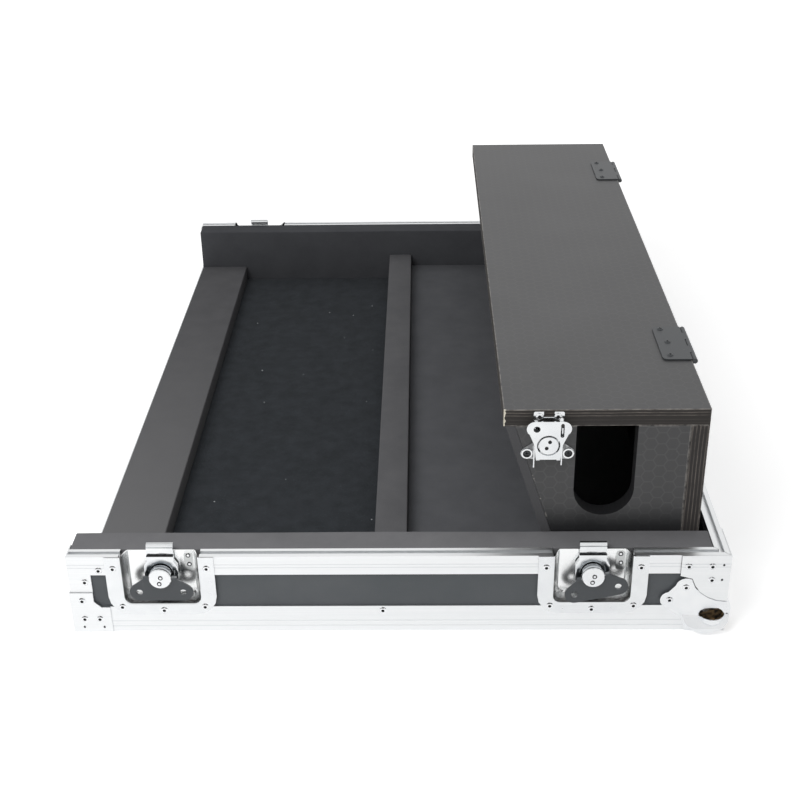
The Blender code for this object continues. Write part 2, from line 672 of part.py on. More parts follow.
def build_lid(looks, hinge_line, pivot):
    lid = prism(
        "box_lid", rectangle(LID_FRONT, LID_REAR, LID_BOTTOM, LID_TOP), "Y",
        wall_y("near", BOX_IN), wall_y("far", BOX_IN), looks["film"],
    )
    hang(lid, hinge_line, pivot, pivot)
    for side in SIDES:
        top = LID_TOP - KEEPER_TOP_DROP
        low = top - KEEPER_HEIGHT
        keeper = prism(
            f"{side}_keeper",
            rounded(BOX_LATCH_X - KEEPER_WIDTH / 2, BOX_LATCH_X + KEEPER_WIDTH / 2, low, top, 1.5 * MM, 45), "Y",
            box_y(side, GAP), box_y(side, GAP + KEEPER_SHEET), looks["zinc"],
        )
        window = rectangle(
            BOX_LATCH_X - KEEPER_WINDOW / 2, BOX_LATCH_X + KEEPER_WINDOW / 2, low + KEEPER_BAR, top + MM,
        )
        cut(keeper, prism(f"{side}_keeper_window", window, "Y", box_y(side, -MM), box_y(side, 4 * MM)))
        bar = rectangle(
            BOX_LATCH_X - KEEPER_WINDOW / 2, BOX_LATCH_X + KEEPER_WINDOW / 2,
            low + 0.6 * MM, low + KEEPER_BAR - 0.4 * MM,
        )
        proud = (box_y(side, GAP + KEEPER_SHEET - 0.6 * MM), box_y(side, GAP + KEEPER_BAR_PROUD))
        weld(keeper, prism(f"{side}_keeper_bar", bar, "Y", *proud))
        hang(keeper, hinge_line, pivot, pivot)


def knuckle(target, name, y_low, y_high):
    weld(target, rod(name, (HINGE_X, HINGE_Z), KNUCKLE_R, "Y", y_low, y_high))


def build_hinge(place, y, looks, origin, hinge_line, pivot):
    """Butt hinge: the back leaf carries the pin and the odd knuckles, the lid leaf the even ones."""
    low = y - HINGE_LENGTH / 2
    pitch = HINGE_LENGTH / KNUCKLES
    leaf_z = (LID_TOP + GAP, LID_TOP + GAP + HINGE_SHEET)
    leaf_x = (LID_REAR + GAP, LID_REAR + GAP + HINGE_SHEET)
    lid_leaf = prism(
        f"{place}_hinge_lid_leaf",
        [(HINGE_X, low)] + [(HINGE_X, low + HINGE_LENGTH)]
        + arc((LID_REAR - HINGE_LEAF + HINGE_CORNER, low + HINGE_LENGTH - HINGE_CORNER), HINGE_CORNER, 90, 180, 30)
        + arc((LID_REAR - HINGE_LEAF + HINGE_CORNER, low + HINGE_CORNER), HINGE_CORNER, 180, 270, 30),
        "Z", *leaf_z, looks["black_steel"],
    )
    foot = LID_TOP - HINGE_BACK_LEAF
    head = HINGE_Z - 0.4 * MM
    back_leaf = prism(
        f"{place}_hinge_back_leaf",
        [(low, head), (low, foot + HINGE_CORNER)]
        + arc((low + HINGE_CORNER, foot + HINGE_CORNER), HINGE_CORNER, 180, 270, 30)
        + arc((low + HINGE_LENGTH - HINGE_CORNER, foot + HINGE_CORNER), HINGE_CORNER, 270, 360, 30)
        + [(low + HINGE_LENGTH, head)],
        "X", *leaf_x, looks["black_steel"],
    )
    leaves = (back_leaf, lid_leaf)
    for i in range(KNUCKLES):
        start, end = low + i * pitch, low + (i + 1) * pitch
        room = rod(
            f"{place}_knuckle_room_{i}", (HINGE_X, HINGE_Z), KNUCKLE_NOTCH_R, "Y", start - GAP / 2, end + GAP / 2,
        )
        cut(leaves[1 - i % 2], room)
    for i in range(KNUCKLES):
        start, end = low + i * pitch, low + (i + 1) * pitch
        knuckle(leaves[i % 2], f"{place}_knuckle_{i}", start + GAP / 2, end - GAP / 2)
    bore = rod(f"{place}_hinge_bore", (HINGE_X, HINGE_Z), HINGE_PIN_R + GAP, "Y", low - MM, low + HINGE_LENGTH + MM)
    cut(lid_leaf, bore)
    pin = rod(f"{place}_hinge_pin", (HINGE_X, HINGE_Z), HINGE_PIN_R, "Y", low + MM, low + HINGE_LENGTH - MM)
    weld(back_leaf, pin)
    hang(back_leaf, origin, (0, 0, 0))
    hang(lid_leaf, hinge_line, pivot, pivot)


def dish_row(half, floor, corner, out, x, side):
    """One open U-shaped row of the dish's skin, from the top left round to the top right."""
    row = [(x - half, TRAY_HEIGHT - GAP)]
    row += arc((x - half + corner, floor + corner), corner, 180, 270, 22.5)
    row += arc((x + half - corner, floor + corner), corner, 270, 360, 22.5)
    row += [(x + half, TRAY_HEIGHT - GAP)]
    return [(a, wall_y(side, -out), b) for a, b in row]


def build_dish(name, side, x, looks, origin):
    """Pressed latch dish: one sheet drawn back from its flange, open at the top."""
    half = DISH_WIDTH / 2 + PLATE / 2
    floor = DISH_FLOOR_Z - PLATE / 2
    deep = -(DISH_DEPTH - PLATE / 2)
    rows = [
        (half - PLATE / 2 + DISH_SIDE_FLANGE, DISH_FLOOR_Z - DISH_FOOT_FLANGE, FLANGE_CORNER, PLATE_MIDDLE),
        (half + DISH_BEND, floor - DISH_BEND, DISH_CORNER + DISH_BEND, PLATE_MIDDLE),
        (half + DISH_BEND / 3, floor - DISH_BEND / 3, DISH_CORNER, PLATE_MIDDLE - DISH_BEND / 3),
        (half, floor, DISH_CORNER, PLATE_MIDDLE - DISH_BEND),
        (half - DISH_TAPER, floor + DISH_TAPER, DISH_CORNER - DISH_BEND, deep + DISH_BEND),
        (half - DISH_TAPER - DISH_BEND, floor + DISH_TAPER + DISH_BEND, DISH_CORNER - DISH_BEND, deep),
    ]
    work = bmesh.new()
    made = [[work.verts.new(p) for p in dish_row(*row, x, side)] for row in rows]
    for outer, inner in zip(made, made[1:]):
        for i in range(len(outer) - 1):
            work.faces.new((outer[i], outer[i + 1], inner[i + 1], inner[i]))
    work.faces.new(made[-1])
    dish = new_object(name, work, looks["zinc"])
    sheet = dish.modifiers.new("sheet", "SOLIDIFY")
    sheet.thickness = PLATE
    sheet.offset = 0
    sheet.use_even_offset = True
    tab_xs = sorted(x - SIDES[side] * reach for reach in (TAB_START, TAB_START + TAB_WIDTH))
    tab = rounded(*tab_xs, BOSS_Z, BOSS_Z + TAB_RISE, 2 * MM, 45)
    back = DISH_DEPTH - PLATE / 2
    weld(dish, prism(f"{name}_padlock_tab", tab, "Y", wall_y(side, back), wall_y(side, back - TAB_THICK)))
    smooth(dish, 30)
    hang(dish, origin, (0, 0, 0))


def build_hook(name, side, x, looks, origin):
    """Hook plate that slides up and down in the dish, with a slot round the boss."""
    slack = 0.85 * MM
    top = TRAY_HEIGHT + HOOK_REACH
    slot_low = BOSS_Z - HOOK_TRAVEL
    foot = slot_low - BOSS_R - slack - 3 * MM
    shoulder = BOSS_Z + BOSS_R + slack
    outline = [
        (x - HOOK_SHOULDER / 2, foot), (x + HOOK_SHOULDER / 2, foot), (x + HOOK_SHOULDER / 2, shoulder - 4 * MM),
        (x + HOOK_WIDTH / 2, shoulder + 2 * MM), (x + HOOK_WIDTH / 2, top), (x - HOOK_WIDTH / 2, top),
        (x - HOOK_WIDTH / 2, shoulder + 2 * MM), (x - HOOK_SHOULDER / 2, shoulder - 4 * MM),
    ]
    front = wall_y(side, HOOK_DEPTH)
    hook = prism(name, outline, "Y", front, wall_y(side, HOOK_DEPTH + HOOK_SHEET), looks["zinc"])
    radius = BOSS_R + slack
    slot = arc((x, BOSS_Z), radius, 0, 180) + arc((x, slot_low), radius, 180, 360)
    cut(hook, prism(f"{name}_slot", slot, "Y", wall_y(side, 0), wall_y(side, DISH_DEPTH)))
    lip_centre = (HOOK_DEPTH + HOOK_LIP / 2, top - HOOK_LIP / 2)
    outer = arc(lip_centre, HOOK_LIP / 2, 180, 0, 30)
    inner = arc(lip_centre, HOOK_LIP / 2 - HOOK_SHEET, 0, 180, 30)
    lip = [(wall_y(side, depth), height) for depth, height in outer + inner]
    trim = rectangle(x - HOOK_WIDTH, x + HOOK_WIDTH, top - HOOK_LIP / 2, top + MM)
    cut(hook, prism(f"{name}_trim", trim, "Y", wall_y(side, 0), wall_y(side, LINER_OUT)))
    weld(hook, prism(f"{name}_lip", lip_outline(lip), "X", x - HOOK_WIDTH / 2, x + HOOK_WIDTH / 2))
    hang(hook, origin, (x, front, BOSS_Z))


def lip_outline(points):
    """Same lip, its two feet reaching a little into the plate so that the weld is sound."""
    first, last = points[0], points[-1]
    drop = 0.5 * MM
    return [(first[0], first[1] - drop)] + points + [(last[0], last[1] - drop)]


def build_boss(name, side, x, looks):
    """Turning boss with its rivet head, a groove and the pin that carries the wing."""
    inner = -(DISH_DEPTH - PLATE - GAP)
    groove = -2.5 * MM
    profile = [
        (0, inner), (BOSS_R, inner), (BOSS_R, groove - MM), (BOSS_R - MM, groove - MM), (BOSS_R - MM, groove),
        (BOSS_R, groove), (BOSS_R, BOSS_PROUD - 0.8 * MM), (BOSS_R - 0.8 * MM, BOSS_PROUD), (0, BOSS_PROUD),
    ]
    boss = turned(name, profile, (x, BOSS_Z), side, looks["zinc"], 20)
    pin = rod(
        f"{name}_pin", (wall_y(side, -WING_AXIS_OUT), BOSS_Z), WING_PIN_R, "X",
        x - WING_PIN_REACH, x + WING_PIN_REACH, sides=8,
    )
    weld(boss, pin)
    smooth(boss)
    return boss


def build_wing(name, side, x, looks):
    """Black wing that hangs from the boss's pin: two lobes with finger holes and a straight foot."""
    ear_in = BOSS_R + GAP
    ear_out = ear_in + WING_KNUCKLE_LENGTH
    lobe_z = BOSS_Z - WING_HOLE_DROP
    notch_r = BOSS_R + 0.7 * MM
    start = math.degrees(math.asin(0.8 * MM / notch_r))
    outline = arc((x, BOSS_Z), notch_r, 180 + start, 360 - start)
    outline += [(x + ear_out, BOSS_Z - 0.8 * MM)]
    outline += arc((x + WING_HOLE_SPREAD, lobe_z), WING_LOBE_R, 48, -90)
    outline += arc((x - WING_HOLE_SPREAD, lobe_z), WING_LOBE_R, -90, -228)
    outline += [(x - ear_out, BOSS_Z - 0.8 * MM)]
    back, front = WING_STAND, WING_STAND + WING_SHEET
    wing = prism(name, outline, "Y", wall_y(side, -back), wall_y(side, -front), looks["black_steel"])
    for hand, sign in (("left", -1), ("right", 1)):
        hole = rod(
            f"{name}_{hand}_hole", (x + sign * WING_HOLE_SPREAD, lobe_z), WING_HOLE_R, "Y",
            wall_y(side, 0), wall_y(side, -front - MM), sides=16,
        )
        cut(wing, hole)
        tube = sorted((x + sign * ear_in, x + sign * ear_out))
        axis = (wall_y(side, -WING_AXIS_OUT), BOSS_Z)
        weld(wing, rod(f"{name}_{hand}_knuckle", axis, WING_KNUCKLE_R, "X", *tube, sides=10))
        bore = rod(f"{name}_{hand}_bore", axis, WING_PIN_R + GAP, "X", tube[0] - MM, tube[1] + MM, sides=8)
        cut(wing, bore)
    return wing


def build_wall_latches(looks, origin):
    for side in SIDES:
        for place, x in LATCH_XS.items():
            name = f"{side}_{place}_latch"
            build_dish(f"{name}_dish", side, x, looks, origin)
            build_hook(f"{name}_hook", side, x, looks, origin)
            boss = build_boss(f"{name}_boss", side, x, looks)
            wing = build_wing(f"{name}_wing", side, x, looks)
            boss_pivot = Vector((x, wall_y(side, 0), BOSS_Z))
            wing_pivot = Vector((x, wall_y(side, -WING_AXIS_OUT), BOSS_Z))
            hang(wing, boss, wing_pivot, boss_pivot)
            hang(boss, origin, boss_pivot)
            if name == "near_rear_latch":
                boss.rotation_euler = (0, -NEAR_REAR_WING_TURN, 0)


def build_box_latch_base(name, side, looks, origin):
    """Channel that guides the hook, with a screw ear on each side."""
    x, z = BOX_LATCH_X, BOX_BOSS_Z
    ear_z = z - BOX_EAR_DROP
    outline = [(x - BOX_CHANNEL_WIDTH / 2, z), (x - BOX_CHANNEL_WIDTH / 2, z + BOX_CHANNEL_TOP)]
    outline += [(x + BOX_CHANNEL_WIDTH / 2, z + BOX_CHANNEL_TOP), (x + BOX_CHANNEL_WIDTH / 2, z)]
    outline += arc((x + BOX_EAR_SPREAD, ear_z), BOX_EAR_R, 60, -90, 30)
    outline += [(x + BOX_CHANNEL_WIDTH / 2, ear_z - BOX_EAR_R), (x + BOX_CHANNEL_WIDTH / 2, z - BOX_PLATE_FOOT)]
    outline += [(x - BOX_CHANNEL_WIDTH / 2, z - BOX_PLATE_FOOT), (x - BOX_CHANNEL_WIDTH / 2, ear_z - BOX_EAR_R)]
    outline += arc((x - BOX_EAR_SPREAD, ear_z), BOX_EAR_R, 270, 120, 30)
    base = prism(name, outline, "Y", box_y(side, GAP), box_y(side, PLATE_FACE), looks["zinc"])
    for hand, sign in (("left", -1), ("right", 1)):
        ear = (x + sign * BOX_EAR_SPREAD, ear_z)
        rail = sorted((x + sign * BOX_CHANNEL_WIDTH / 2, x + sign * (BOX_CHANNEL_WIDTH / 2 - PLATE)))
        wall = rectangle(*rail, z - BOX_LEGS[hand], z + BOX_CHANNEL_TOP)
        weld(base, prism(f"{name}_{hand}_rail", wall, "Y", box_y(side, GAP), box_y(side, BOX_CHANNEL_DEPTH)))
        weld(base, rod(f"{name}_{hand}_ring", ear, BOX_RING_R, "Y", box_y(side, GAP), box_y(side, BOX_RING_PROUD)))
        deep = (box_y(side, -MM), box_y(side, BOX_RING_PROUD + MM))
        cut(base, rod(f"{name}_{hand}_screw", ear, BOX_SCREW_R, "Y", *deep, sides=16))
    hang(base, origin, (0, 0, 0))


def build_box_hook(name, side, looks, origin):
    x, z = BOX_LATCH_X, BOX_BOSS_Z
    half = BOX_HOOK_WIDTH / 2
    slack = BOX_SHAFT_R + 0.6 * MM
    foot = z - BOX_HOOK_TRAVEL - slack - 3 * MM
    outline = rounded(x - half, x + half, foot, z + BOX_HOOK_TOP, 2 * MM, 45)
    front = BOX_HOOK_STAND + PLATE
    hook = prism(name, outline, "Y", box_y(side, BOX_HOOK_STAND), box_y(side, front), looks["zinc"])
    slot = arc((x, z), slack, 0, 180, 30) + arc((x, z - BOX_HOOK_TRAVEL), slack, 180, 360, 30)
    cut(hook, prism(f"{name}_slot", slot, "Y", box_y(side, 0), box_y(side, front + 2 * MM)))
    hang(hook, origin, (x, box_y(side, BOX_HOOK_STAND), z))


def build_box_boss(name, side, looks):
    """Disc on a shaft, with the carrier tongue that holds the wing's hinge pin at its foot."""
    x, z = BOX_LATCH_X, BOX_BOSS_Z
    face = BOX_WING_STAND + BOX_WING_SHEET + 0.8 * MM
    profile = [
        (0, PLATE_FACE + GAP), (BOX_SHAFT_R, PLATE_FACE + GAP), (BOX_SHAFT_R, BOX_CARRIER_STAND),
        (BOX_BOSS_R, BOX_CARRIER_STAND), (BOX_BOSS_R, face - 0.5 * MM), (BOX_BOSS_R - 0.5 * MM, face), (0, face),
    ]
    boss = turned(name, [(r, out - BOX_IN) for r, out in profile], (x, z), side, looks["zinc"], 24)
    foot_z = z - BOX_WING_FOOT
    tongue = rectangle(x - BOX_TONGUE_HALF, x + BOX_TONGUE_HALF, foot_z - 0.8 * MM, z)
    carrier_front = BOX_WING_STAND - GAP
    weld(boss, prism(f"{name}_tongue", tongue, "Y", box_y(side, BOX_CARRIER_STAND), box_y(side, carrier_front)))
    axis = (box_y(side, BOX_WING_AXIS_OUT), foot_z)
    pin_reach = BOX_WING_FOOT_HALF - MM
    weld(boss, rod(f"{name}_pin", axis, BOX_WING_PIN_R, "X", x - pin_reach, x + pin_reach, sides=8))
    smooth(boss)
    return boss


def build_box_wing(name, side, looks):
    """Zinc wing folded up over the boss, with a round padlock hole on the left and a slot on the right."""
    x, z = BOX_LATCH_X, BOX_BOSS_Z
    shoulder = z + BOX_WING_SHOULDER_Z
    half = BOX_WING_HALF - BOX_WING_SHOULDER_R
    foot = z - BOX_WING_FOOT
    outline = [(x - BOX_WING_FOOT_HALF, foot), (x + BOX_WING_FOOT_HALF, foot)]
    outline += [(x + BOX_WING_NECK, z + 1 * MM)]
    outline += arc((x + half, shoulder), BOX_WING_SHOULDER_R, -52, 90, 20)
    outline += arc((x - half, shoulder), BOX_WING_SHOULDER_R, 90, 232, 20)
    outline += [(x - BOX_WING_NECK, z + 1 * MM)]
    wing = prism(
        name, outline, "Y", box_y(side, BOX_WING_STAND), box_y(side, BOX_WING_STAND + BOX_WING_SHEET), looks["zinc"],
    )
    deep = (box_y(side, BOX_WING_STAND - 3 * MM), box_y(side, BOX_WING_STAND + 4 * MM))
    cut(wing, rod(f"{name}_eye", (x, z), BOX_WING_EYE_R, "Y", *deep, sides=28))
    hole = (x - BOX_WING_HOLE_X, shoulder - 0.5 * MM)
    cut(wing, rod(f"{name}_hole", hole, BOX_WING_HOLE_R, "Y", *deep, sides=16))
    slot_x, slot_z = x + BOX_WING_SLOT_X, shoulder - 2 * MM
    slot = arc((slot_x, slot_z + BOX_WING_SLOT_HALF), BOX_WING_SLOT_R, 0, 180, 30)
    slot += arc((slot_x, slot_z - BOX_WING_SLOT_HALF), BOX_WING_SLOT_R, 180, 360, 30)
    cut(wing, prism(f"{name}_slot", slot, "Y", *deep))
    axis = (box_y(side, BOX_WING_AXIS_OUT), foot)
    for hand, sign in (("left", -1), ("right", 1)):
        tube = sorted((x + sign * (BOX_TONGUE_HALF + GAP), x + sign * BOX_WING_FOOT_HALF))
        weld(wing, rod(f"{name}_{hand}_knuckle", axis, BOX_WING_KNUCKLE_R, "X", *tube, sides=10))
    reach = BOX_WING_FOOT_HALF + MM
    cut(wing, rod(f"{name}_bore", axis, BOX_WING_PIN_R + GAP, "X", x - reach, x + reach, sides=8))
    return wing


def build_box_latches(looks, origin):
    for side in SIDES:
        name = f"box_{side}_latch"
        build_box_latch_base(f"{name}_base", side, looks, origin)
        build_box_hook(f"{name}_hook", side, looks, origin)
        boss = build_box_boss(f"{name}_boss", side, looks)
        wing = build_box_wing(f"{name}_wing", side, looks)
        boss_pivot = Vector((BOX_LATCH_X, box_y(side, 0), BOX_BOSS_Z))
        wing_pivot = Vector((BOX_LATCH_X, box_y(side, BOX_WING_AXIS_OUT), BOX_BOSS_Z - BOX_WING_FOOT))
        hang(wing, boss, wing_pivot, boss_pivot)
        hang(boss, origin, boss_pivot)


def cover_outline():
    """Flat of the wheel cover: two rivet lobes at the front and a rear edge under the corner bracket."""
    (low_lobe, low_r), (high_lobe, high_r) = COVER_LOBES
    low_c = (WHEEL_X + low_lobe[0], WHEEL_Z + low_lobe[1])
    high_c = (WHEEL_X + high_lobe[0], WHEEL_Z + high_lobe[1])
    rear = TRAY_LENGTH + PLATE_FACE
    arc_z = TRAY_HEIGHT - BRACKET_SHOULDER + BRACKET_RISE
    clear = BRACKET_ROUND + COVER_CLEAR
    sweep = [(TRAY_LENGTH - clear * math.cos(math.radians(t)), arc_z - clear * math.sin(math.radians(t)))
             for t in range(32, 91, 14)]
    outline = [(rear, 0), (rear, arc_z - clear)] + sweep[::-1]
    outline += arc(high_c, high_r, 60, 170, 20)
    outline += arc(low_c, low_r, 100, 240, 20)
    outline += [(WHEEL_X - COVER_STEP[0], WHEEL_Z - COVER_STEP[1]), (WHEEL_X - COVER_FOOT, 0)]
    return outline


def hood_body(name, side, radius, drop, top):
    """Lower half of an upright ellipsoid behind the side face, its upper part a straight barrel up to top."""
    work = bmesh.new()
    middle = Vector((HOOD_X, wall_y(side, HOOD_R - HOOD_PROUD), HOOD_LIP_Z))
    profile = [(radius, top)] if top > 0 else []
    profile += [(radius * math.cos(math.radians(t)), -drop * math.sin(math.radians(t))) for t in range(0, 90, 15)]
    profile += [(0, -drop)]
    profile = [(0, top)] + profile
    points = [work.verts.new((middle.x + r, middle.y, middle.z + h)) for r, h in profile]
    edges = [work.edges.new(pair) for pair in zip(points, points[1:])]
    bmesh.ops.spin(
        work, geom=points + edges, cent=middle, axis=(0, 0, 1),
        angle=2 * math.pi, steps=BOLD, use_merge=True,
    )
    bmesh.ops.remove_doubles(work, verts=work.verts, dist=MM / 1000)
    return new_object(name, work)


def dome_body(name, side, inset, wall):
    """Lower half of a round dome about the axle, whose face slopes from the plate out to the hood's reach."""
    proud = HOOD_PROUD - wall
    edge = DOME_EDGE - wall / 2
    sections = (
        (DOME_R - wall, -inset), (DOME_R - wall, proud - edge), (DOME_R - wall - 0.3 * edge, proud - 0.3 * edge),
        (DOME_R - wall - edge, proud),
    )
    work = bmesh.new()
    rows = []
    for radius, out in sections:
        tilt = math.degrees(math.asin((WHEEL_Z - HOOD_LIP_Z + wall) / radius))
        outline = arc((WHEEL_X, WHEEL_Z), radius, 180 + tilt, 360 - tilt, (180 - 2 * tilt) / 13.5)
        rows.append([work.verts.new((a, wall_y(side, -out), b)) for a, b in outline])
    for outer, inner in zip(rows, rows[1:]):
        for i in range(len(outer)):
            j = (i + 1) % len(outer)
            work.faces.new((outer[i], outer[j], inner[j], inner[i]))
    work.faces.new(rows[0])
    work.faces.new(rows[-1])
    dome = new_object(name, work)
    slope = (HOOD_PROUD - PLATE_FACE) / (DOME_TOP_Z - DOME_FULL_Z)
    top = DOME_TOP_Z - 1.5 * wall
    ridge, over = top + 0.5 * MM, 2 * HOOD_LIP_Z
    far_out, far_in = 2 * HOOD_PROUD, -5 * MM
    foot = top - (far_out - PLATE_FACE) / slope
    rise = [(far_out, foot), (PLATE_FACE - (ridge - top) * slope, ridge), (far_in, ridge), (far_in, over)]
    wedge = [(wall_y(side, -out), z) for out, z in rise + [(far_out, over)]]
    cut(dome, prism(f"{name}_slope", wedge, "X", WHEEL_X - 2 * DOME_R, WHEEL_X + 2 * DOME_R))
    return dome


def build_wheel_cover(side, looks, origin):
    """Pressed cover: a flat riveted plate, a round cheek, a domed hood with an open eye, and the cup with the axle."""
    name = f"{side}_wheel_cover"
    hub = (WHEEL_X, WHEEL_Z)
    cover = prism(name, cover_outline(), "Y", wall_y(side, -GAP), wall_y(side, -PLATE_FACE), looks["zinc"])
    cup = arc(hub, CUP_R, 90, 232, 10)
    cheek = arc(hub, CHEEK_R, 232 - 360, 90, 10) + cup[:-1]
    weld(cover, prism(f"{name}_cheek", cheek, "Y", wall_y(side, 0), wall_y(side, CHEEK_IN)))
    raised = (wall_y(side, CHEEK_IN / 2), wall_y(side, -PLATE_MIDDLE))
    weld(cover, rod(f"{name}_joggle", (WHEEL_X, JOGGLE_Z), JOGGLE_R, "Y", *raised))
    weld(cover, dome_body(f"{name}_dome", side, -PLATE_MIDDLE, 0))
    hood = hood_body(f"{name}_hood", side, HOOD_R, HOOD_DROP, 0)
    behind = rectangle(HOOD_X - 2 * HOOD_R, HOOD_X + 2 * HOOD_R, -5 * MM, HOOD_LIP_Z + 5 * MM)
    trim = prism(f"{name}_hood_trim", behind, "Y", wall_y(side, -PLATE_MIDDLE), wall_y(side, 3 * HOOD_R))
    cut(hood, trim)
    weld(cover, hood)
    cut(cover, dome_body(f"{name}_dome_hollow", side, CHEEK_IN + MM, PLATE))
    cut(cover, hood_body(f"{name}_hollow", side, HOOD_R - PLATE, HOOD_DROP - PLATE, MM))
    window = [(HOOD_X + a, HOOD_LIP_Z + b) for a, b in WINDOW]
    cut(cover, prism(f"{name}_window", window, "Y", wall_y(side, -PLATE_FACE - MM), wall_y(side, CHEEK_IN + MM)))
    band = arc(hub, CUP_R - CUP_STEP, 86, 229, 10) + arc(hub, CUP_R - PLATE, 229, 86, 10)
    weld(cover, prism(f"{name}_band", band, "Y", wall_y(side, CHEEK_IN / 2), wall_y(side, CUP_IN - PLATE / 2)))
    back = cup[:-1] + arc(hub, CUP_BACK_R, 225 - 360, 90, 20)
    weld(cover, prism(f"{name}_cup_back", back, "Y", wall_y(side, CUP_IN), wall_y(side, CUP_IN - PLATE)))
    axle = rod(f"{name}_axle", hub, AXLE_R, "Y", wall_y(side, CUP_IN - PLATE / 2), wall_y(side, WHEEL_OUT), sides=16)
    weld(cover, axle)
    smooth(cover, 30)
    hang(cover, origin, (0, 0, 0))


def build_wheel(side, looks, origin):
    half = WHEEL_WIDTH / 2
    middle = -(WHEEL_OUT + half)
    bore = AXLE_R + GAP
    tread = WHEEL_R - 1.5 * MM
    web, rim_in, hub_r = half - 3 * MM, WHEEL_R - 6 * MM, 8 * MM
    profile = [
        (bore, -half), (hub_r, -half), (hub_r, -web), (rim_in, -web), (rim_in, -half), (tread, -half),
        (WHEEL_R, -half + 3 * MM), (WHEEL_R, half - 3 * MM), (tread, half), (rim_in, half), (rim_in, web),
        (hub_r, web), (hub_r, half), (bore, half),
    ]
    wheel = turned(
        f"{side}_wheel", [(r, out + middle) for r, out in profile], (WHEEL_X, WHEEL_Z), side, looks["rubber"],
        24,
    )
    smooth(wheel)
    hang(wheel, origin, (WHEEL_X, wall_y(side, -middle), WHEEL_Z))


def build():
    clear_scene()
    looks = {
        "ply": finish("black_birch_ply", "2A2A2B", 0.55),
        "laminate": finish("charcoal_laminate", "4A4C4F", 0.45),
        "film": finish("phenolic_film", "434446", 0.5),
        "aluminium": finish("anodised_aluminium", "E4E6E8", 0.35, 1.0),
        "zinc": finish("zinc_plated_steel", "D6D8DA", 0.22, 1.0),
        "black_steel": finish("black_zinc_steel", "3A3B3D", 0.45, 0.6),
        "foam": finish("charcoal_foam", "454547", 0.9),
        "carpet": finish("black_carpet", "17191C", 1.0),
        "rubber": finish("grey_rubber", "4B4C4E", 0.7),
    }
    origin = bpy.data.objects.new("tray_origin", None)
    bpy.context.scene.collection.objects.link(origin)
    origin.location = (ORIGIN_X, 0, 0)
    pivot = Vector((HINGE_X, 0, HINGE_Z))
    hinge_line = bpy.data.objects.new("lid_hinge_line", None)
    bpy.context.scene.collection.objects.link(hinge_line)
    hinge_line.parent = origin
    hinge_line.location = pivot
    build_floor(looks, origin)
    build_walls(looks, origin)
    build_base_edges(looks, origin)
    build_rims(looks, origin)
    build_foam(looks, origin)
    build_cable_box(looks, origin)
    build_lid(looks, hinge_line, pivot)
    for place, setback in HINGE_SETBACKS.items():
        build_hinge(place, box_y(place, -setback), looks, origin, hinge_line, pivot)
    build_wall_latches(looks, origin)
    build_box_latches(looks, origin)
    for side in SIDES:
        build_wheel_cover(side, looks, origin)
        build_wheel(side, looks, origin)


build()
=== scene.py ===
"""Looks of a mixing desk's flight case base: its finishes, cut foam, carpet, rivets, screws and studio.

Sizes are in metres in the frame's own axes. X runs from the low front to the rear, the near side is at
negative Y and Z is up. TRAY coordinates in the tables below are millimetres from the tray's front face
and from the floor, and "out" is how far a face stands proud of the tray's outer face.
"""

import math

import bmesh
import bpy
from mathutils import Matrix, Vector


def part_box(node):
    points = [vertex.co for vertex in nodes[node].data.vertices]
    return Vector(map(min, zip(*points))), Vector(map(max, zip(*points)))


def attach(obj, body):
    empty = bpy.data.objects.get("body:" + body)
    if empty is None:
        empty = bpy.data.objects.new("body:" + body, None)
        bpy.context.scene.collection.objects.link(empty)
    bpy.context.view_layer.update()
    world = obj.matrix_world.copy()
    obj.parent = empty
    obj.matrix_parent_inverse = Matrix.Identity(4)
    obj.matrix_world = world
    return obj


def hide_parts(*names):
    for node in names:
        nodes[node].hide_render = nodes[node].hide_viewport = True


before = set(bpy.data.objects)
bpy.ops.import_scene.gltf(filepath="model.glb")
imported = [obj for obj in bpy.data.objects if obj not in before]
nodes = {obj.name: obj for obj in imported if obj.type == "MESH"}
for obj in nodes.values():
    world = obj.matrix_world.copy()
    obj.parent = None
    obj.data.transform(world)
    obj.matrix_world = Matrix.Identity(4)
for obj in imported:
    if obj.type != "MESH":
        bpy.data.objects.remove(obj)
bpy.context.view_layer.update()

MM = 0.001

# Places that the frame gives
FRONT_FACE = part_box("front_base_edge")[0].x
REAR_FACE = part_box("rear_base_edge")[1].x
SIDE_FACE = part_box("far_base_edge")[1].y
BOX_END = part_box("box_far_end")[1].y
LID_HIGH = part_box("box_lid")[1]
SIDES = {"near": -1, "far": 1}

# How far faces stand out of the tray's side, the cable box's end or its lid
PLATE_OUT = 1.5 * MM
BOSS_OUT = 5.5 * MM
KEEPER_OUT = 1.9 * MM
EAR_OUT = 0.3 * MM
LEAF_OUT = 1.8 * MM

# How far the tab's front, the liner's face and the middle of a hook slot's cutter lie inside the side
TAB_FACE = 9.8 * MM
LINER_FACE = 14.3 * MM
HOOK_CUT = 7 * MM

# Round hollow in each liner, which clears the wheel
WELL_X, WELL_Z = 644.5 * MM, 25.5 * MM
WELL_R = 27.1 * MM
WELL_IN = 19 * MM
WELL_LENGTH = 60 * MM

# Camera, worked out from the straight edges of the tray in the photograph: radians, and a lens in millimetres
CAMERA_PLACE = Vector((0.02572, -1.55036, 0.84228))
CAMERA_YAW = -0.0206
CAMERA_PITCH = 0.4904
CAMERA_ROLL = 0.0154
LENS = 58.95
SENSOR = 36

# Radii of the heads of rivets, screws and pressed pips
RIVET_R = 3.7 * MM
RIVET_HOLE = 1.7 * MM
RINGED_R = 2.6 * MM
HOLLOW_R = 2.2 * MM
PIP_R = 1.5 * MM
SCREW_R = 3.3 * MM
PAN_R = 3.8 * MM

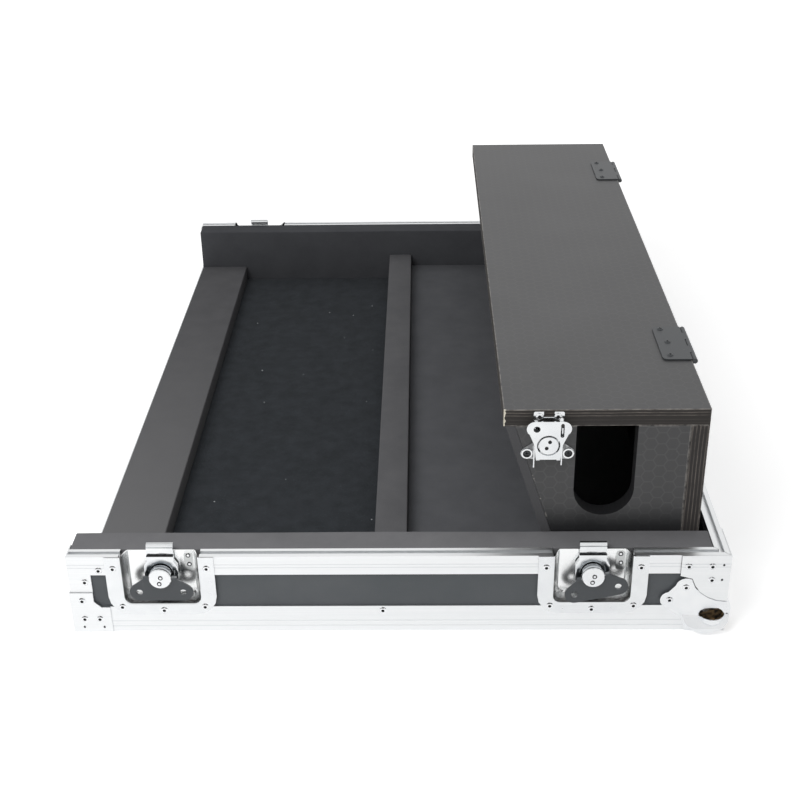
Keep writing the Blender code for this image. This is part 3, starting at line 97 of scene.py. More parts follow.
# Their places: tray coordinates, or millimetres from a boss, a hinge's line and middle, or a keeper's middle
FOOT_RIVETS = ((11.4, 39.1), (11.6, 16.6), (27.1, 16.5))
ANGLE_RIVETS = ((32.1, 75.6), (16.5, 61.4))
FOOT_PIPS = ((10.1, 6.5), (30.6, 6.4))
DISH_RIVETS = ((-47.0, 78.6), (-42.0, 31.8), (0.3, 27.6), (42.4, 31.8), (47.2, 78.6))
BRACKET_RIVETS = ((622.4, 79.4), (645.8, 79.3), (646.5, 63.0))
BRACKET_PIPS = ((657.0, 81.0), (656.6, 63.0))
COVER_RIVETS = ((606.3, 38.5), (621.7, 53.9))
BASE_RIVET = (317.0, 25.5)
END_RIVETS = ((11.5, 39.1), (11.6, 16.6))
TAB_RIVETS = ((27.9, 87.1), (28.5, 76.5))
BOSS_RIVETS = ((1.0, 1.7), (-0.8, -5.4))
BOX_BOSS_RIVETS = ((1.1, 4.6), (-1.9, -2.4))
HINGE_SCREWS = ((21.8, 33.5), (18.8, 1.2), (21.2, -30.2))
KEEPER_SCREWS = (-9.4, 8.6)
KEEPER_SCREW_RISE = 0.3
EAR_REACH, EAR_FALL = 20.4, 12.4

# Plates on the front of a recessed hook: half widths, heights and depths behind the wall's face
HOOK_LOWER = {"half": 17 * MM, "neck": 13.75 * MM, "low": 45 * MM, "shoulder": 76.75 * MM,
              "neck_z": 82.75 * MM, "top": 88.6 * MM, "front": 5 * MM, "back": 8.7 * MM}
HOOK_UPPER = {"half": 13.5 * MM, "low": 90 * MM, "top": 97.5 * MM, "front": 7 * MM, "back": 8.7 * MM}
HOOK_SLOT_R = 11.9 * MM
HOOK_SLOT_FALL = 8 * MM
HOOK_SLOT_RISE = 0.6 * MM
CUTTER_LENGTH = 30 * MM

# The cable box: its front leans back, and painted shade darkens the foot of its ends
FRONT_LEAN = math.radians(17.8)
FRONT_NORMAL = (math.cos(FRONT_LEAN), 0, math.sin(FRONT_LEAN))
BOX_BOSS_Z = LID_HIGH.z - 35.5 * MM
PAINTED_SHADE_TOP, PAINTED_SHADE_FOOT = 124 * MM, 97 * MM

# Heights of the grooves in the edging's lower angles and in the rims, and half the width of one
EDGE_GROOVES = (6.6 * MM, 13 * MM)
RIM_GROOVES = (82.2 * MM, 78.6 * MM)
GROOVE_HALF = 0.8 * MM

# The rims' ends that lie this near to a corner aren't sawn
CORNER_REACH = 40 * MM

# The films' honeycomb print: a cell from flat to flat, and half the width of its lines
COMB_CELL = 12.5 * MM
COMB_HALF_LINE = 1.1 * MM

# Pale glue lines on a cut ply edge: how deep through the board, from 0 to 1, and how bright
PLY_LINES = ((0.1, 0.7), (0.3, 0.5), (0.5, 0.75), (0.7, 0.5), (0.9, 0.7))
LID_LINES = ((0.97, 0.9), (0.79, 0.8), (0.62, 0.65), (0.36, 0.15), (0.15, 0.1))
NO_LINES = ((0.5, 0.0),)

# A noise's scale is how many of its patches lie along a metre
NOISE_ROUGHNESS = 0.55

# Foam's softly wandering faces: how far, how fast along and up a face, and how near an end they die out
SWAY = 0.25 * MM
SWAY_ALONG, SWAY_UP = 23, 90
SWAY_END = 20 * MM


def linear(colour):
    """An sRGB hex colour as linear red, green, blue and alpha."""
    channels = [int(colour[i : i + 2], 16) / 255 for i in (0, 2, 4)]
    return (*(c / 12.92 if c <= 0.04045 else ((c + 0.055) / 1.055) ** 2.4 for c in channels), 1)


def add(tree, kind, inputs=(), output=None, **settings):
    """Adds a node with its settings and links. It gives back the output that is named, or the first in use.

    Inputs are named, or come in the order of the sockets in use. One that is a node's output is linked.
    """
    made = tree.nodes.new(f"ShaderNode{kind}")
    for name, value in settings.items():
        setattr(made, name, value)
    sockets = [socket for socket in made.inputs if socket.enabled]
    if isinstance(inputs, dict):
        sockets = [made.inputs[name] for name in inputs]
        inputs = inputs.values()
    for socket, value in zip(sockets, inputs):
        if isinstance(value, bpy.types.NodeSocket):
            tree.links.new(value, socket)
        else:
            socket.default_value = value
    return made.outputs[output] if output else next((each for each in made.outputs if each.enabled), None)


def new_material(name, roughness, metallic=0.0, **sockets):
    """A material, its nodes, its Principled shader and a point's place on the piece.

    The shader's sockets get plain numbers, because the export reads those.
    """
    made = bpy.data.materials.new(name)
    made.use_nodes = True
    tree = made.node_tree
    shader = tree.nodes["Principled BSDF"]
    shader.inputs["Roughness"].default_value = roughness
    shader.inputs["Metallic"].default_value = metallic
    for socket, value in sockets.items():
        shader.inputs[socket].default_value = value
    return made, tree, shader, add(tree, "TexCoord", output="Object")


def plug_in(tree, shader, colour, height, depth, sheen=None):
    """Links a finish to its shader: colour, roughness, and a height from 0 to 1 that stands for a depth."""
    tree.links.new(colour, shader.inputs["Base Color"])
    if sheen:
        tree.links.new(sheen, shader.inputs["Roughness"])
    bump = add(tree, "Bump", {"Height": height, "Distance": depth})
    tree.links.new(bump, shader.inputs["Normal"])


def middle(node):
    low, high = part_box(node)
    return (low + high) / 2


def patches(tree, place, scale, start, end, low=0.0, high=1.0, detail=3.0):
    """Soft patches, scale of them to a metre: grey from start to end is spread over low to high."""
    grey = add(tree, "TexNoise", (place, scale, detail, NOISE_ROUGHNESS))
    return add(tree, "MapRange", (grey, start, end, low, high))


def lines_at(tree, coordinate, levels, half_width):
    """1 on thin lines where the coordinate is at one of the levels, 0 elsewhere."""
    total = None
    for level in levels:
        past = add(tree, "Math", (coordinate, level), operation="SUBTRACT")
        away = add(tree, "Math", (past,), operation="ABSOLUTE")
        line = add(tree, "MapRange", (away, half_width, 0.0))
        total = line if total is None else add(tree, "Math", (total, line), operation="MAXIMUM")
    return total


def depth_in(tree, place):
    """How far a point lies inside the outer face of the long sides; it is negative outside them."""
    across = add(tree, "SeparateXYZ", (place,), "Y")
    out = add(tree, "Math", (across,), operation="ABSOLUTE")
    return add(tree, "Math", (SIDE_FACE, out), operation="SUBTRACT")


def facing(tree, axis):
    """How squarely the surface faces along an axis, from 0 to 1."""
    normal = add(tree, "TexCoord", output="Normal")
    turn = add(tree, "SeparateXYZ", (normal,), axis)
    return add(tree, "Math", (turn,), operation="ABSOLUTE")


def upward(tree):
    """How far the surface faces up, from -1 to 1."""
    normal = add(tree, "TexCoord", output="Normal")
    return add(tree, "SeparateXYZ", (normal,), "Z")


def anodised_aluminium(name, along, grooves):
    """Extruded and anodised: nearly white, with fine die lines along its length and two grooves.

    The rims along the sides are sawn off beside the latches, and those ends are dark.
    """
    made, tree, shader, place = new_material(name, 0.3, 1.0)
    lines = [1500.0] * 3  # die lines lie 0.7 mm apart, drawn coarser than the real ones
    lines["XYZ".index(along)] = 6.0  # and change along 170 mm
    stretched = add(tree, "Mapping", {"Vector": place, "Scale": lines})
    die = add(tree, "TexNoise", (stretched, 1.0, 2.0, NOISE_ROUGHNESS))
    fine = add(tree, "MapRange", (die, 0.3, 0.7))
    colour = add(tree, "Mix", (fine, linear("ECEEEF"), linear("F2F3F4")), data_type="RGBA")
    level = add(tree, "SeparateXYZ", (place,), "Z")
    ribs = lines_at(tree, level, grooves, GROOVE_HALF)
    # Painted shade: the grooves are darker, for the shadow under their ridges, besides their bump
    painted_dark_lines = add(tree, "Math", (ribs, 0.5), operation="MULTIPLY")
    colour = add(tree, "Mix", (painted_dark_lines, colour, linear("C4C8CC")), data_type="RGBA")
    faint = add(tree, "Math", (fine, 0.1), operation="MULTIPLY")
    height = add(tree, "Math", (faint, ribs), operation="ADD")
    if along == "X" and grooves == RIM_GROOVES:
        length = add(tree, "SeparateXYZ", (place,), "X")
        from_middle = add(tree, "Math", (length,), operation="ABSOLUTE")
        inside = add(tree, "Math", (from_middle, REAR_FACE - CORNER_REACH), operation="LESS_THAN")
        square = add(tree, "Math", (facing(tree, along), 0.9), operation="GREATER_THAN")
        sawn = add(tree, "Math", (inside, square), operation="MULTIPLY")
        colour = add(tree, "Mix", (sawn, colour, linear("3A3A3C")), data_type="RGBA")
    sheen = add(tree, "MapRange", (die, 0.2, 0.8, 0.32, 0.42))
    plug_in(tree, shader, colour, height, 0.2 * MM, sheen)
    return made


def zinc_coat(tree, shader, place, roughness, colour, dull):
    """Bright zinc's soft cloud and hair-thin handling scratches; gives back its colour."""
    cloud = patches(tree, place, 55.0, 0.3, 0.7)  # 18 mm across
    # Hairs 11 mm long and 0.5 mm apart
    hairs = {"Vector": place, "Rotation": (0.3, 0.5, 0.7), "Scale": (90, 2200, 2200)}
    scratch = add(tree, "TexNoise", (add(tree, "Mapping", hairs), 1.0, 2.0, NOISE_ROUGHNESS))
    sheen = add(tree, "Math", (cloud, -0.06, roughness + 0.04), operation="MULTIPLY_ADD")
    tree.links.new(sheen, shader.inputs["Roughness"])
    bump = add(tree, "Bump", {"Height": scratch, "Distance": 0.012 * MM})
    tree.links.new(bump, shader.inputs["Normal"])
    return add(tree, "Mix", (cloud, linear(dull), linear(colour)), data_type="RGBA")


def zinc_plated_steel(name, roughness=0.22, colour="F3F4F5", dull="ECEEF0"):
    """Bright zinc on pressed steel: a near-white mirror with a soft cloud in it."""
    made, tree, shader, place = new_material(name, roughness, 1.0)
    coat = zinc_coat(tree, shader, place, roughness, colour, dull)
    tree.links.new(coat, shader.inputs["Base Color"])
    return made


def set_rivet():
    """Zinc on a rivet's head: a bright dome whose upper rim is darkened in broken lines, a painted reflection
    of dim surroundings.
    """
    made, tree, shader, place = new_material("zinc_rivet_head", 0.2, 1.0)
    bright = zinc_coat(tree, shader, place, 0.2, "F1F2F3", "EAECEE")
    # Painted reflection: the faces of the rim that look up are dark, in broken lines
    upper = add(tree, "MapRange", (upward(tree), 0.34, 0.5))
    broken = patches(tree, place, 750.0, 0.36, 0.5, detail=2.0)  # 1.3 mm across
    painted_dark_lines = add(tree, "Math", (upper, broken), operation="MULTIPLY")
    colour = add(tree, "Mix", (painted_dark_lines, bright, linear("3E3E3F")), data_type="RGBA")
    tree.links.new(colour, shader.inputs["Base Color"])
    return made


def hook_zinc():
    """Zinc on the recessed hooks, darker round the boss in broken patches: a painted reflection and shade of
    the boss.
    """
    made, tree, shader, place = new_material("zinc_hook_plate", 0.16, 1.0)
    bright = zinc_coat(tree, shader, place, 0.16, "EEF0F1", "E4E6E8")
    # Painted reflection: the plate darkens within 12.5 to 18.5 mm of each boss
    shade = None
    for latch in ("near_front", "near_rear"):
        boss = middle(f"{latch}_latch_boss")
        away = add(tree, "VectorMath", (place, Vector((boss.x, 0, boss.z))), operation="SUBTRACT")
        flat = add(tree, "VectorMath", (away, Vector((1, 0, 1))), operation="MULTIPLY")
        reach = add(tree, "VectorMath", (flat,), operation="LENGTH")
        near = add(tree, "MapRange", (reach, 18.5 * MM, 12.5 * MM))
        shade = near if shade is None else add(tree, "Math", (shade, near), operation="MAXIMUM")
    broken = patches(tree, place, 120.0, 0.3, 0.65, 0.45, 0.95)  # 8 mm across
    wear_and_painted_shade = add(tree, "Math", (shade, broken), operation="MULTIPLY")
    colour = add(tree, "Mix", (wear_and_painted_shade, bright, linear("7C858D")), data_type="RGBA")
    tree.links.new(colour, shader.inputs["Base Color"])
    return made


def drawn_zinc():
    """Zinc on the deep-drawn dish: painted shade and reflection darken its bent walls near the flange, in
    streaks, and a painted highlight brightens its back.
    """
    made, tree, shader, place = new_material("drawn_zinc_dish", 0.22, 1.0)
    depth = depth_in(tree, place)
    bright = zinc_coat(tree, shader, place, 0.24, "ECEEEF", "E6E8EA")
    # Painted highlight: deeper than 3 to 8 mm, the dish's back is brighter
    inside = add(tree, "MapRange", (depth, 3 * MM, 8 * MM))
    bright = add(tree, "Mix", (inside, bright, linear("FAFBFB")), data_type="RGBA")
    # Painted shade and reflection: the bent walls near the flange are dark, in streaks
    wall = add(tree, "MapRange", (facing(tree, "Y"), 0.9, 0.5))
    starts = add(tree, "MapRange", (depth, -1.2 * MM, 0.2 * MM))
    ends = add(tree, "MapRange", (depth, 8 * MM, 2.5 * MM))
    mouth = add(tree, "Math", (starts, ends), operation="MULTIPLY")
    streak = add(tree, "Mapping", {"Vector": place, "Scale": (300, 1100, 60)})  # 3 x 0.9 x 17 mm
    streaks = patches(tree, streak, 1.0, 0.25, 0.7, 0.5, 1.0)
    bent = add(tree, "Math", (wall, mouth), operation="MULTIPLY")
    shade = add(tree, "Math", (bent, streaks), operation="MULTIPLY")
    square = add(tree, "Math", (facing(tree, "Y"), 0.9), operation="GREATER_THAN")
    past = add(tree, "Math", (depth, TAB_FACE), operation="SUBTRACT")
    away = add(tree, "Math", (past,), operation="ABSOLUTE")
    tab = add(tree, "MapRange", (away, 0.5 * MM, 0.3 * MM))
    on_tab = add(tree, "Math", (square, tab), operation="MULTIPLY")
    bright = add(tree, "Mix", (on_tab, bright, linear("C2C4C4")), data_type="RGBA")
    colour = add(tree, "Mix", (shade, bright, linear("4A4643")), data_type="RGBA")
    tree.links.new(colour, shader.inputs["Base Color"])
    return made


def turned_zinc():
    """Zinc on the turned boss: dark rings round its neck, a painted reflection."""
    made, tree, shader, place = new_material("turned_zinc_boss", 0.16, 1.0)
    bright = zinc_coat(tree, shader, place, 0.14, "F0F1F2", "E8EAEC")
    # Painted reflection: dark bands round the neck, broken in patches
    rings = lines_at(tree, depth_in(tree, place), (-3.4 * MM, 1.2 * MM, 6.4 * MM), 2.2 * MM)
    broken = patches(tree, place, 170.0, 0.35, 0.6, 0.25, 0.95)  # 6 mm across
    side = add(tree, "MapRange", (facing(tree, "Y"), 0.8, 0.4))
    wear_and_painted_bands = add(tree, "Math", (rings, broken), operation="MULTIPLY")
    shade = add(tree, "Math", (wear_and_painted_bands, side), operation="MULTIPLY")
    colour = add(tree, "Mix", (shade, bright, linear("4C4D4E")), data_type="RGBA")
    tree.links.new(colour, shader.inputs["Base Color"])
    return made


def plated_channel():
    """Zinc on the box latch's channel: painted shade darkens its back plate in broken patches, and its rings
    and walls stay bright.
    """
    made, tree, shader, place = new_material("zinc_latch_channel", 0.2, 1.0)
    bright = zinc_coat(tree, shader, place, 0.18, "F0F1F2", "E6E8EA")
    # Painted shade: the back plate, low between the rings and walls, is dark in broken patches
    across = add(tree, "SeparateXYZ", (place,), "Y")
    from_middle = add(tree, "Math", (across,), operation="ABSOLUTE")
    out = add(tree, "Math", (from_middle, BOX_END), operation="SUBTRACT")
    deep = add(tree, "MapRange", (out, 2.0 * MM, 1.4 * MM))
    square = add(tree, "Math", (facing(tree, "Y"), 0.8), operation="GREATER_THAN")
    low = add(tree, "Math", (deep, square), operation="MULTIPLY")
    broken = patches(tree, place, 240.0, 0.3, 0.55, 0.5, 1.0)  # 4 mm across
    painted_shade_mask = add(tree, "Math", (low, broken), operation="MULTIPLY")
    colour = add(tree, "Mix", (painted_shade_mask, bright, linear("38393B")), data_type="RGBA")
    tree.links.new(colour, shader.inputs["Base Color"])
    return made


def dark_recess():
    """Hollow of a rivet or screw, where dirt and painted shade sit, and a painted shadow on top of a hook's
    lower plate.
    """
    made, tree, shader, place = new_material("dark_recess", 0.7, **{"Specular IOR Level": 0.1})
    spots = patches(tree, place, 900.0, 0.35, 0.7)  # 1.1 mm across
    colour = add(tree, "Mix", (spots, linear("1B1B1C"), linear("3A3A3B")), data_type="RGBA")
    tree.links.new(colour, shader.inputs["Base Color"])
    return made


def black_steel(name, colour, roughness, metallic):
    """Black coat on steel: even, with a faint orange peel and rubbed patches.

    A painted one, which isn't metallic, has paler edges on top in broken patches: a painted highlight.
    """
    made, tree, shader, place = new_material(name, roughness, metallic, **{"Specular IOR Level": 0.35})
    rub = patches(tree, place, 180.0, 0.62, 0.8, detail=4.0)  # 6 mm across
    wear_and_painted_shade = add(tree, "Math", (rub, 0.3), operation="MULTIPLY")
    tint = add(tree, "Mix", (wear_and_painted_shade, linear(colour), linear("6C6E70")), data_type="RGBA")
    # Painted highlight: on a painted one, faces that look up are paler, in broken patches
    if metallic == 0:
        cut_edge = add(tree, "MapRange", (upward(tree), 0.35, 0.8))
        chip_and_highlight_patches = patches(tree, place, 45.0, 0.42, 0.56)  # 22 mm across
        painted_top_highlight = add(tree, "Math", (cut_edge, chip_and_highlight_patches), operation="MULTIPLY")
        tint = add(tree, "Mix", (painted_top_highlight, tint, linear("8E9092")), data_type="RGBA")
    peel = add(tree, "TexNoise", (place, 1400.0, 2.0, NOISE_ROUGHNESS))  # 0.7 mm across
    plug_in(tree, shader, tint, peel, 0.04 * MM)
    return made


def charcoal_laminate():
    """High-pressure laminate: matt charcoal with a fine pebble, drawn coarser than the real 0.2 mm."""
    made, tree, shader, place = new_material("charcoal_laminate", 0.5, **{"Specular IOR Level": 0.3})
    pebbles = add(tree, "TexVoronoi", (place, 900.0))  # 1.1 mm across
    cloud = patches(tree, place, 18.0, 0.3, 0.7)  # 56 mm across
    tint = add(tree, "Mix", (cloud, linear("515558"), linear("585B5E")), data_type="RGBA")
    plug_in(tree, shader, tint, pebbles, 0.12 * MM)
    return made


def hexagons(tree, across, up, size, half_line):
    """1 on the lines of a honeycomb whose flats lie across, 0 inside its cells. size is flat to flat.

    The cells' middles form two rectangular grids, half a step apart, and the nearer middle counts.
    """
    step = Vector((size * math.sqrt(3), size, 0)) / 2
    flat = add(tree, "CombineXYZ", (across, up))
    moved = add(tree, "VectorMath", (flat, step), operation="ADD")
    offsets = [add(tree, "VectorMath", (at, step, -step), operation="WRAP") for at in (flat, moved)]
    lengths = [add(tree, "VectorMath", (offset,), operation="LENGTH") for offset in offsets]
    nearer = add(tree, "Math", lengths, operation="GREATER_THAN")
    nearest = add(tree, "Mix", (nearer, *offsets), data_type="VECTOR")
    away = add(tree, "VectorMath", (nearest,), operation="ABSOLUTE")
    parts = add(tree, "SeparateXYZ", (away,)).node.outputs
    half_up = add(tree, "Math", (parts["Y"], 0.5), operation="MULTIPLY")
    slanted = add(tree, "Math", (parts["X"], math.sqrt(3) / 2, half_up), operation="MULTIPLY_ADD")
    reach = add(tree, "Math", (parts["Y"], slanted), operation="MAXIMUM")
    return add(tree, "MapRange", (reach, size / 2 - half_line, size / 2))


def worn_arris(tree, place, low, high, width):
    """1 along the edges of a board, where its film is rubbed through, 0 inside its faces."""
    parts = add(tree, "SeparateXYZ", (place,)).node.outputs
    gaps = []
    for axis, name in enumerate("XYZ"):
        ends = []
        for face in (low[axis], high[axis]):
            past = add(tree, "Math", (parts[name], face), operation="SUBTRACT")
            ends.append(add(tree, "Math", (past,), operation="ABSOLUTE"))
        gaps.append(add(tree, "Math", ends, operation="MINIMUM"))
    less = add(tree, "Math", gaps[:2], operation="MINIMUM")
    more = add(tree, "Math", gaps[:2], operation="MAXIMUM")
    upper = add(tree, "Math", (more, gaps[2]), operation="MINIMUM")
    second = add(tree, "Math", (less, upper), operation="MAXIMUM")
    return add(tree, "MapRange", (second, width, width * 0.4))


def glue_lines(tree, place, through, node, direction, plies):
    """The pale lines between the plies, which wander a little, as bright as plies says; 0 between them."""
    reach = [vertex.co.dot(direction) for vertex in nodes[node].data.vertices]
    start, thickness = min(reach), max(reach) - min(reach)
    waves = add(tree, "TexNoise", (place, 22.0, 3.0, NOISE_ROUGHNESS))  # 45 mm long
    centred = add(tree, "Math", (waves, 0.5), operation="SUBTRACT")
    wander = add(tree, "Math", (centred, 2.2 * MM), operation="MULTIPLY")
    straight = add(tree, "Math", (through, start), operation="SUBTRACT")
    depth = add(tree, "Math", (straight, wander), operation="ADD")
    total = None
    for share, strength in plies:
        thin = lines_at(tree, depth, [thickness * share], 0.8 * MM)
        line = add(tree, "Math", (thin, strength), operation="MULTIPLY")
        total = line if total is None else add(tree, "Math", (total, line), operation="MAXIMUM")
    return total


def chipped_front(tree, place, height, node, tint):
    """A box end's slanted edge, with chips in its film, and its foot, which is darkened by painted shade."""
    slant = add(tree, "VectorMath", (place, Vector(FRONT_NORMAL)), operation="DOT_PRODUCT")
    front = min(vertex.co.dot(Vector(FRONT_NORMAL)) for vertex in nodes[node].data.vertices)
    inwards = add(tree, "Math", (slant, front), operation="SUBTRACT")
    edge = add(tree, "MapRange", (inwards, 1.8 * MM, 0.8 * MM))
    chip_and_highlight_patches = patches(tree, place, 70.0, 0.6, 0.64)  # 14 mm across
    chips = add(tree, "Math", (edge, chip_and_highlight_patches), operation="MULTIPLY")
    pale = add(tree, "Math", (chips, 0.7), operation="MULTIPLY")
    tint = add(tree, "Mix", (pale, tint, linear("A5A29C")), data_type="RGBA")
    # Painted shade: the end darkens downwards to its foot
    painted_shade_mask = add(tree, "MapRange", (height, PAINTED_SHADE_TOP, PAINTED_SHADE_FOOT, 0.0, 0.85))
    return add(tree, "Mix", (painted_shade_mask, tint, linear("131416")), data_type="RGBA")


def broken_corner(tree, place, corner, tint):
    """A board's upright corner, broken off to pale wood along a ragged line."""
    away = add(tree, "VectorMath", (place, Vector((corner.x, corner.y, 0))), operation="SUBTRACT")
    flat = add(tree, "VectorMath", (away, Vector((1, 1, 0))), operation="MULTIPLY")
    reach = add(tree, "VectorMath", (flat,), operation="LENGTH")
    splinters = add(tree, "TexNoise", (place, 230.0, 3.0, NOISE_ROUGHNESS))  # 4 mm across
    ragged = add(tree, "Math", (splinters, 5.5 * MM, reach), operation="MULTIPLY_ADD")
    broke = add(tree, "Math", (ragged, 4.1 * MM), operation="LESS_THAN")
    return add(tree, "Mix", (broke, tint, linear("D9D3C2")), data_type="RGBA")


def printed_film(tree, place, comb, comb_share, top, paler):
    """The film on the broad faces: black with a soft cloud, a honeycomb print and pale specks."""
    cloud = patches(tree, place, 9.0, 0.3, 0.7)  # 110 mm across
    film = add(tree, "Mix", (cloud, linear(top), linear(paler)), data_type="RGBA")
    printed = add(tree, "Math", (comb, comb_share), operation="MULTIPLY")
    film = add(tree, "Mix", (printed, film, linear("8C8C8A")), data_type="RGBA")
    specks = patches(tree, place, 420.0, 0.73, 0.78, detail=2.0)  # 2.4 mm across
    faint = add(tree, "Math", (specks, 0.2), operation="MULTIPLY")
    return add(tree, "Mix", (faint, film, linear("8A8A88")), data_type="RGBA")


def film_ply(name, node, direction, top, paler, comb_share=0.09, plies=PLY_LINES, edge="2B2827",
             chip=False, rim=0.0):
    """Birch plywood stained black under a phenolic film with a honeycomb print.

    direction is through the plies. The broad faces show the film, and the cut edges show the plies, paler
    where the glue took no stain. With a rim, only the rear face shows them, to that depth, and the other cut
    edges are near black: painted shade.
    """
    made, tree, shader, place = new_material(name, 0.4, **{"Specular IOR Level": 0.5})
    normal = add(tree, "TexCoord", output="Normal")
    parts = add(tree, "SeparateXYZ", (place,)).node.outputs
    low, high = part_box(node)
    direction = Vector(direction).normalized()
    main = "XYZ"[max(range(3), key=lambda axis: abs(direction[axis]))]
    across, up = (parts[axis] for axis in "XYZ" if axis != main)
    through = add(tree, "VectorMath", (place, direction), operation="DOT_PRODUCT")
    turn = add(tree, "VectorMath", (normal, direction), operation="DOT_PRODUCT")
    squarely = add(tree, "Math", (turn,), operation="ABSOLUTE")
    broad = add(tree, "Math", (squarely, 0.75), operation="GREATER_THAN")
    comb = hexagons(tree, across, up, COMB_CELL, COMB_HALF_LINE)
    film = printed_film(tree, place, comb, comb_share, top, paler)
    glue = glue_lines(tree, place, through, node, direction, plies)
    cut_edge = linear(edge)
    # Painted shade: with a rim, the cut edges away from the rear face are near black
    if rim:
        past = add(tree, "Math", (parts["X"], high.x), operation="SUBTRACT")
        from_rear = add(tree, "Math", (past,), operation="ABSOLUTE")
        at_rear = add(tree, "Math", (from_rear, rim), operation="LESS_THAN")
        glue = add(tree, "Math", (glue, at_rear), operation="MULTIPLY")
        cut_edge = add(tree, "Mix", (at_rear, linear("151517"), cut_edge), data_type="RGBA")
    broken = patches(tree, place, 60.0, 0.36, 0.6, detail=4.0)  # 17 mm across
    share = add(tree, "Math", (broken, 0.7, 0.3), operation="MULTIPLY_ADD")
    pale = add(tree, "Math", (glue, share), operation="MULTIPLY")
    sides = add(tree, "Mix", (pale, cut_edge, linear("7A736D")), data_type="RGBA")
    tint = add(tree, "Mix", (broad, sides, film), data_type="RGBA")
    leans = main == "X" and direction.x < 1
    if not leans:
        scuff = patches(tree, place, 130.0, 0.34, 0.6)  # 8 mm across
        arris = worn_arris(tree, place, low, high, 1.1 * MM)
        wear_and_painted_bands = add(tree, "Math", (arris, scuff), operation="MULTIPLY")
        light = add(tree, "Math", (wear_and_painted_bands, 0.65), operation="MULTIPLY")
        tint = add(tree, "Mix", (light, tint, linear("928E89")), data_type="RGBA")
    if rim:
        tint = chipped_front(tree, place, parts["Z"], node, tint)
    if chip:
        tint = broken_corner(tree, place, low, tint)
    grain = add(tree, "TexNoise", (place, 900.0, 2.0, NOISE_ROUGHNESS))  # 1.1 mm across
    pebble = add(tree, "Math", (grain, 0.5), operation="MULTIPLY")
    film_height = add(tree, "Math", (comb, 0.6, pebble), operation="MULTIPLY_ADD")
    fibres = add(tree, "Math", (grain, 1.5), operation="MULTIPLY")
    edge_height = add(tree, "Math", (pale, 2.0, fibres), operation="MULTIPLY_ADD")
    height = add(tree, "Mix", (broad, edge_height, film_height))
    sheen = add(tree, "Math", (broad, -0.36, 0.8), operation="MULTIPLY_ADD")
    plug_in(tree, shader, tint, height, 0.06 * MM, sheen)
    return made


def cut_foam(name, colour, smeared, painted_near_light=None):
    """Closed-cell foam cut with a hot wire: matt charcoal, with fine cells, smears and pale dust.

    The last argument is its paler colour towards the near side: painted light.
    """
    made, tree, shader, place = new_material(name, 0.95, **{"Specular IOR Level": 0.06})
    smudges = add(tree, "TexNoise", (place, 26.0, 4.0, 0.6))  # 38 mm across
    smear = add(tree, "MapRange", (smudges, 0.32, 0.7))
    tint = add(tree, "Mix", (smear, linear(colour), linear(smeared)), data_type="RGBA")
    # Painted light: the foam is paler towards the near side
    if painted_near_light:
        across = add(tree, "SeparateXYZ", (place,), "Y")
        near = add(tree, "MapRange", (across, 0.25, -0.45))
        tint = add(tree, "Mix", (near, tint, linear(painted_near_light)), data_type="RGBA")
    specks = patches(tree, place, 900.0, 0.72, 0.8, detail=1.0)  # 1.1 mm across
    faint = add(tree, "Math", (specks, 0.25), operation="MULTIPLY")
    tint = add(tree, "Mix", (faint, tint, linear("8A8A8A")), data_type="RGBA")
    cells = add(tree, "TexVoronoi", (place, 1100.0))  # 0.9 mm across
    height = add(tree, "Math", (cells, 0.6, smear), operation="MULTIPLY_ADD")
    plug_in(tree, shader, tint, height, 0.2 * MM)
    return made


def needle_felt():
    """Needle-punched carpet: near-black blue fibres, a few pale ones, and stray lint."""
    made, tree, shader, place = new_material("black_needle_felt", 1.0, **{"Specular IOR Level": 0.03})
    fibre = add(tree, "TexNoise", (place, 700.0, 3.0, 0.7))  # 1.4 mm, coarser than the real fibres
    wool = patches(tree, place, 60.0, 0.3, 0.7)  # 17 mm across
    tint = add(tree, "Mix", (wool, linear("2A2D30"), linear("323539")), data_type="RGBA")
    light = add(tree, "MapRange", (fibre, 0.6, 0.78))
    pale = add(tree, "Math", (light, 0.45), operation="MULTIPLY")
    tint = add(tree, "Mix", (pale, tint, linear("69727B")), data_type="RGBA")
    dots = add(tree, "TexVoronoi", (place, 32.0))  # 31 mm apart
    lint = add(tree, "Math", (dots, 0.026), operation="LESS_THAN")
    stray = add(tree, "Math", (lint, 0.8), operation="MULTIPLY")
    tint = add(tree, "Mix", (stray, tint, linear("C9CCCE")), data_type="RGBA")
    shader.inputs["Sheen Weight"].default_value = 0.04
    shader.inputs["Sheen Roughness"].default_value = 0.6
    plug_in(tree, shader, tint, fibre, 0.9 * MM)
    return made


def wheel_rubber():
    """Grey-brown polyurethane tread: dusty, with a fine grain."""
    made, tree, shader, place = new_material("wheel_polyurethane", 0.4)
    dust = patches(tree, place, 220.0, 0.4, 0.65, detail=4.0)  # 4.5 mm across
    tint = add(tree, "Mix", (dust, linear("211D1A"), linear("8C7350")), data_type="RGBA")
    grain = add(tree, "TexNoise", (place, 900.0, 3.0, NOISE_ROUGHNESS))  # 1.1 mm across
    plug_in(tree, shader, tint, grain, 0.1 * MM)
    return made


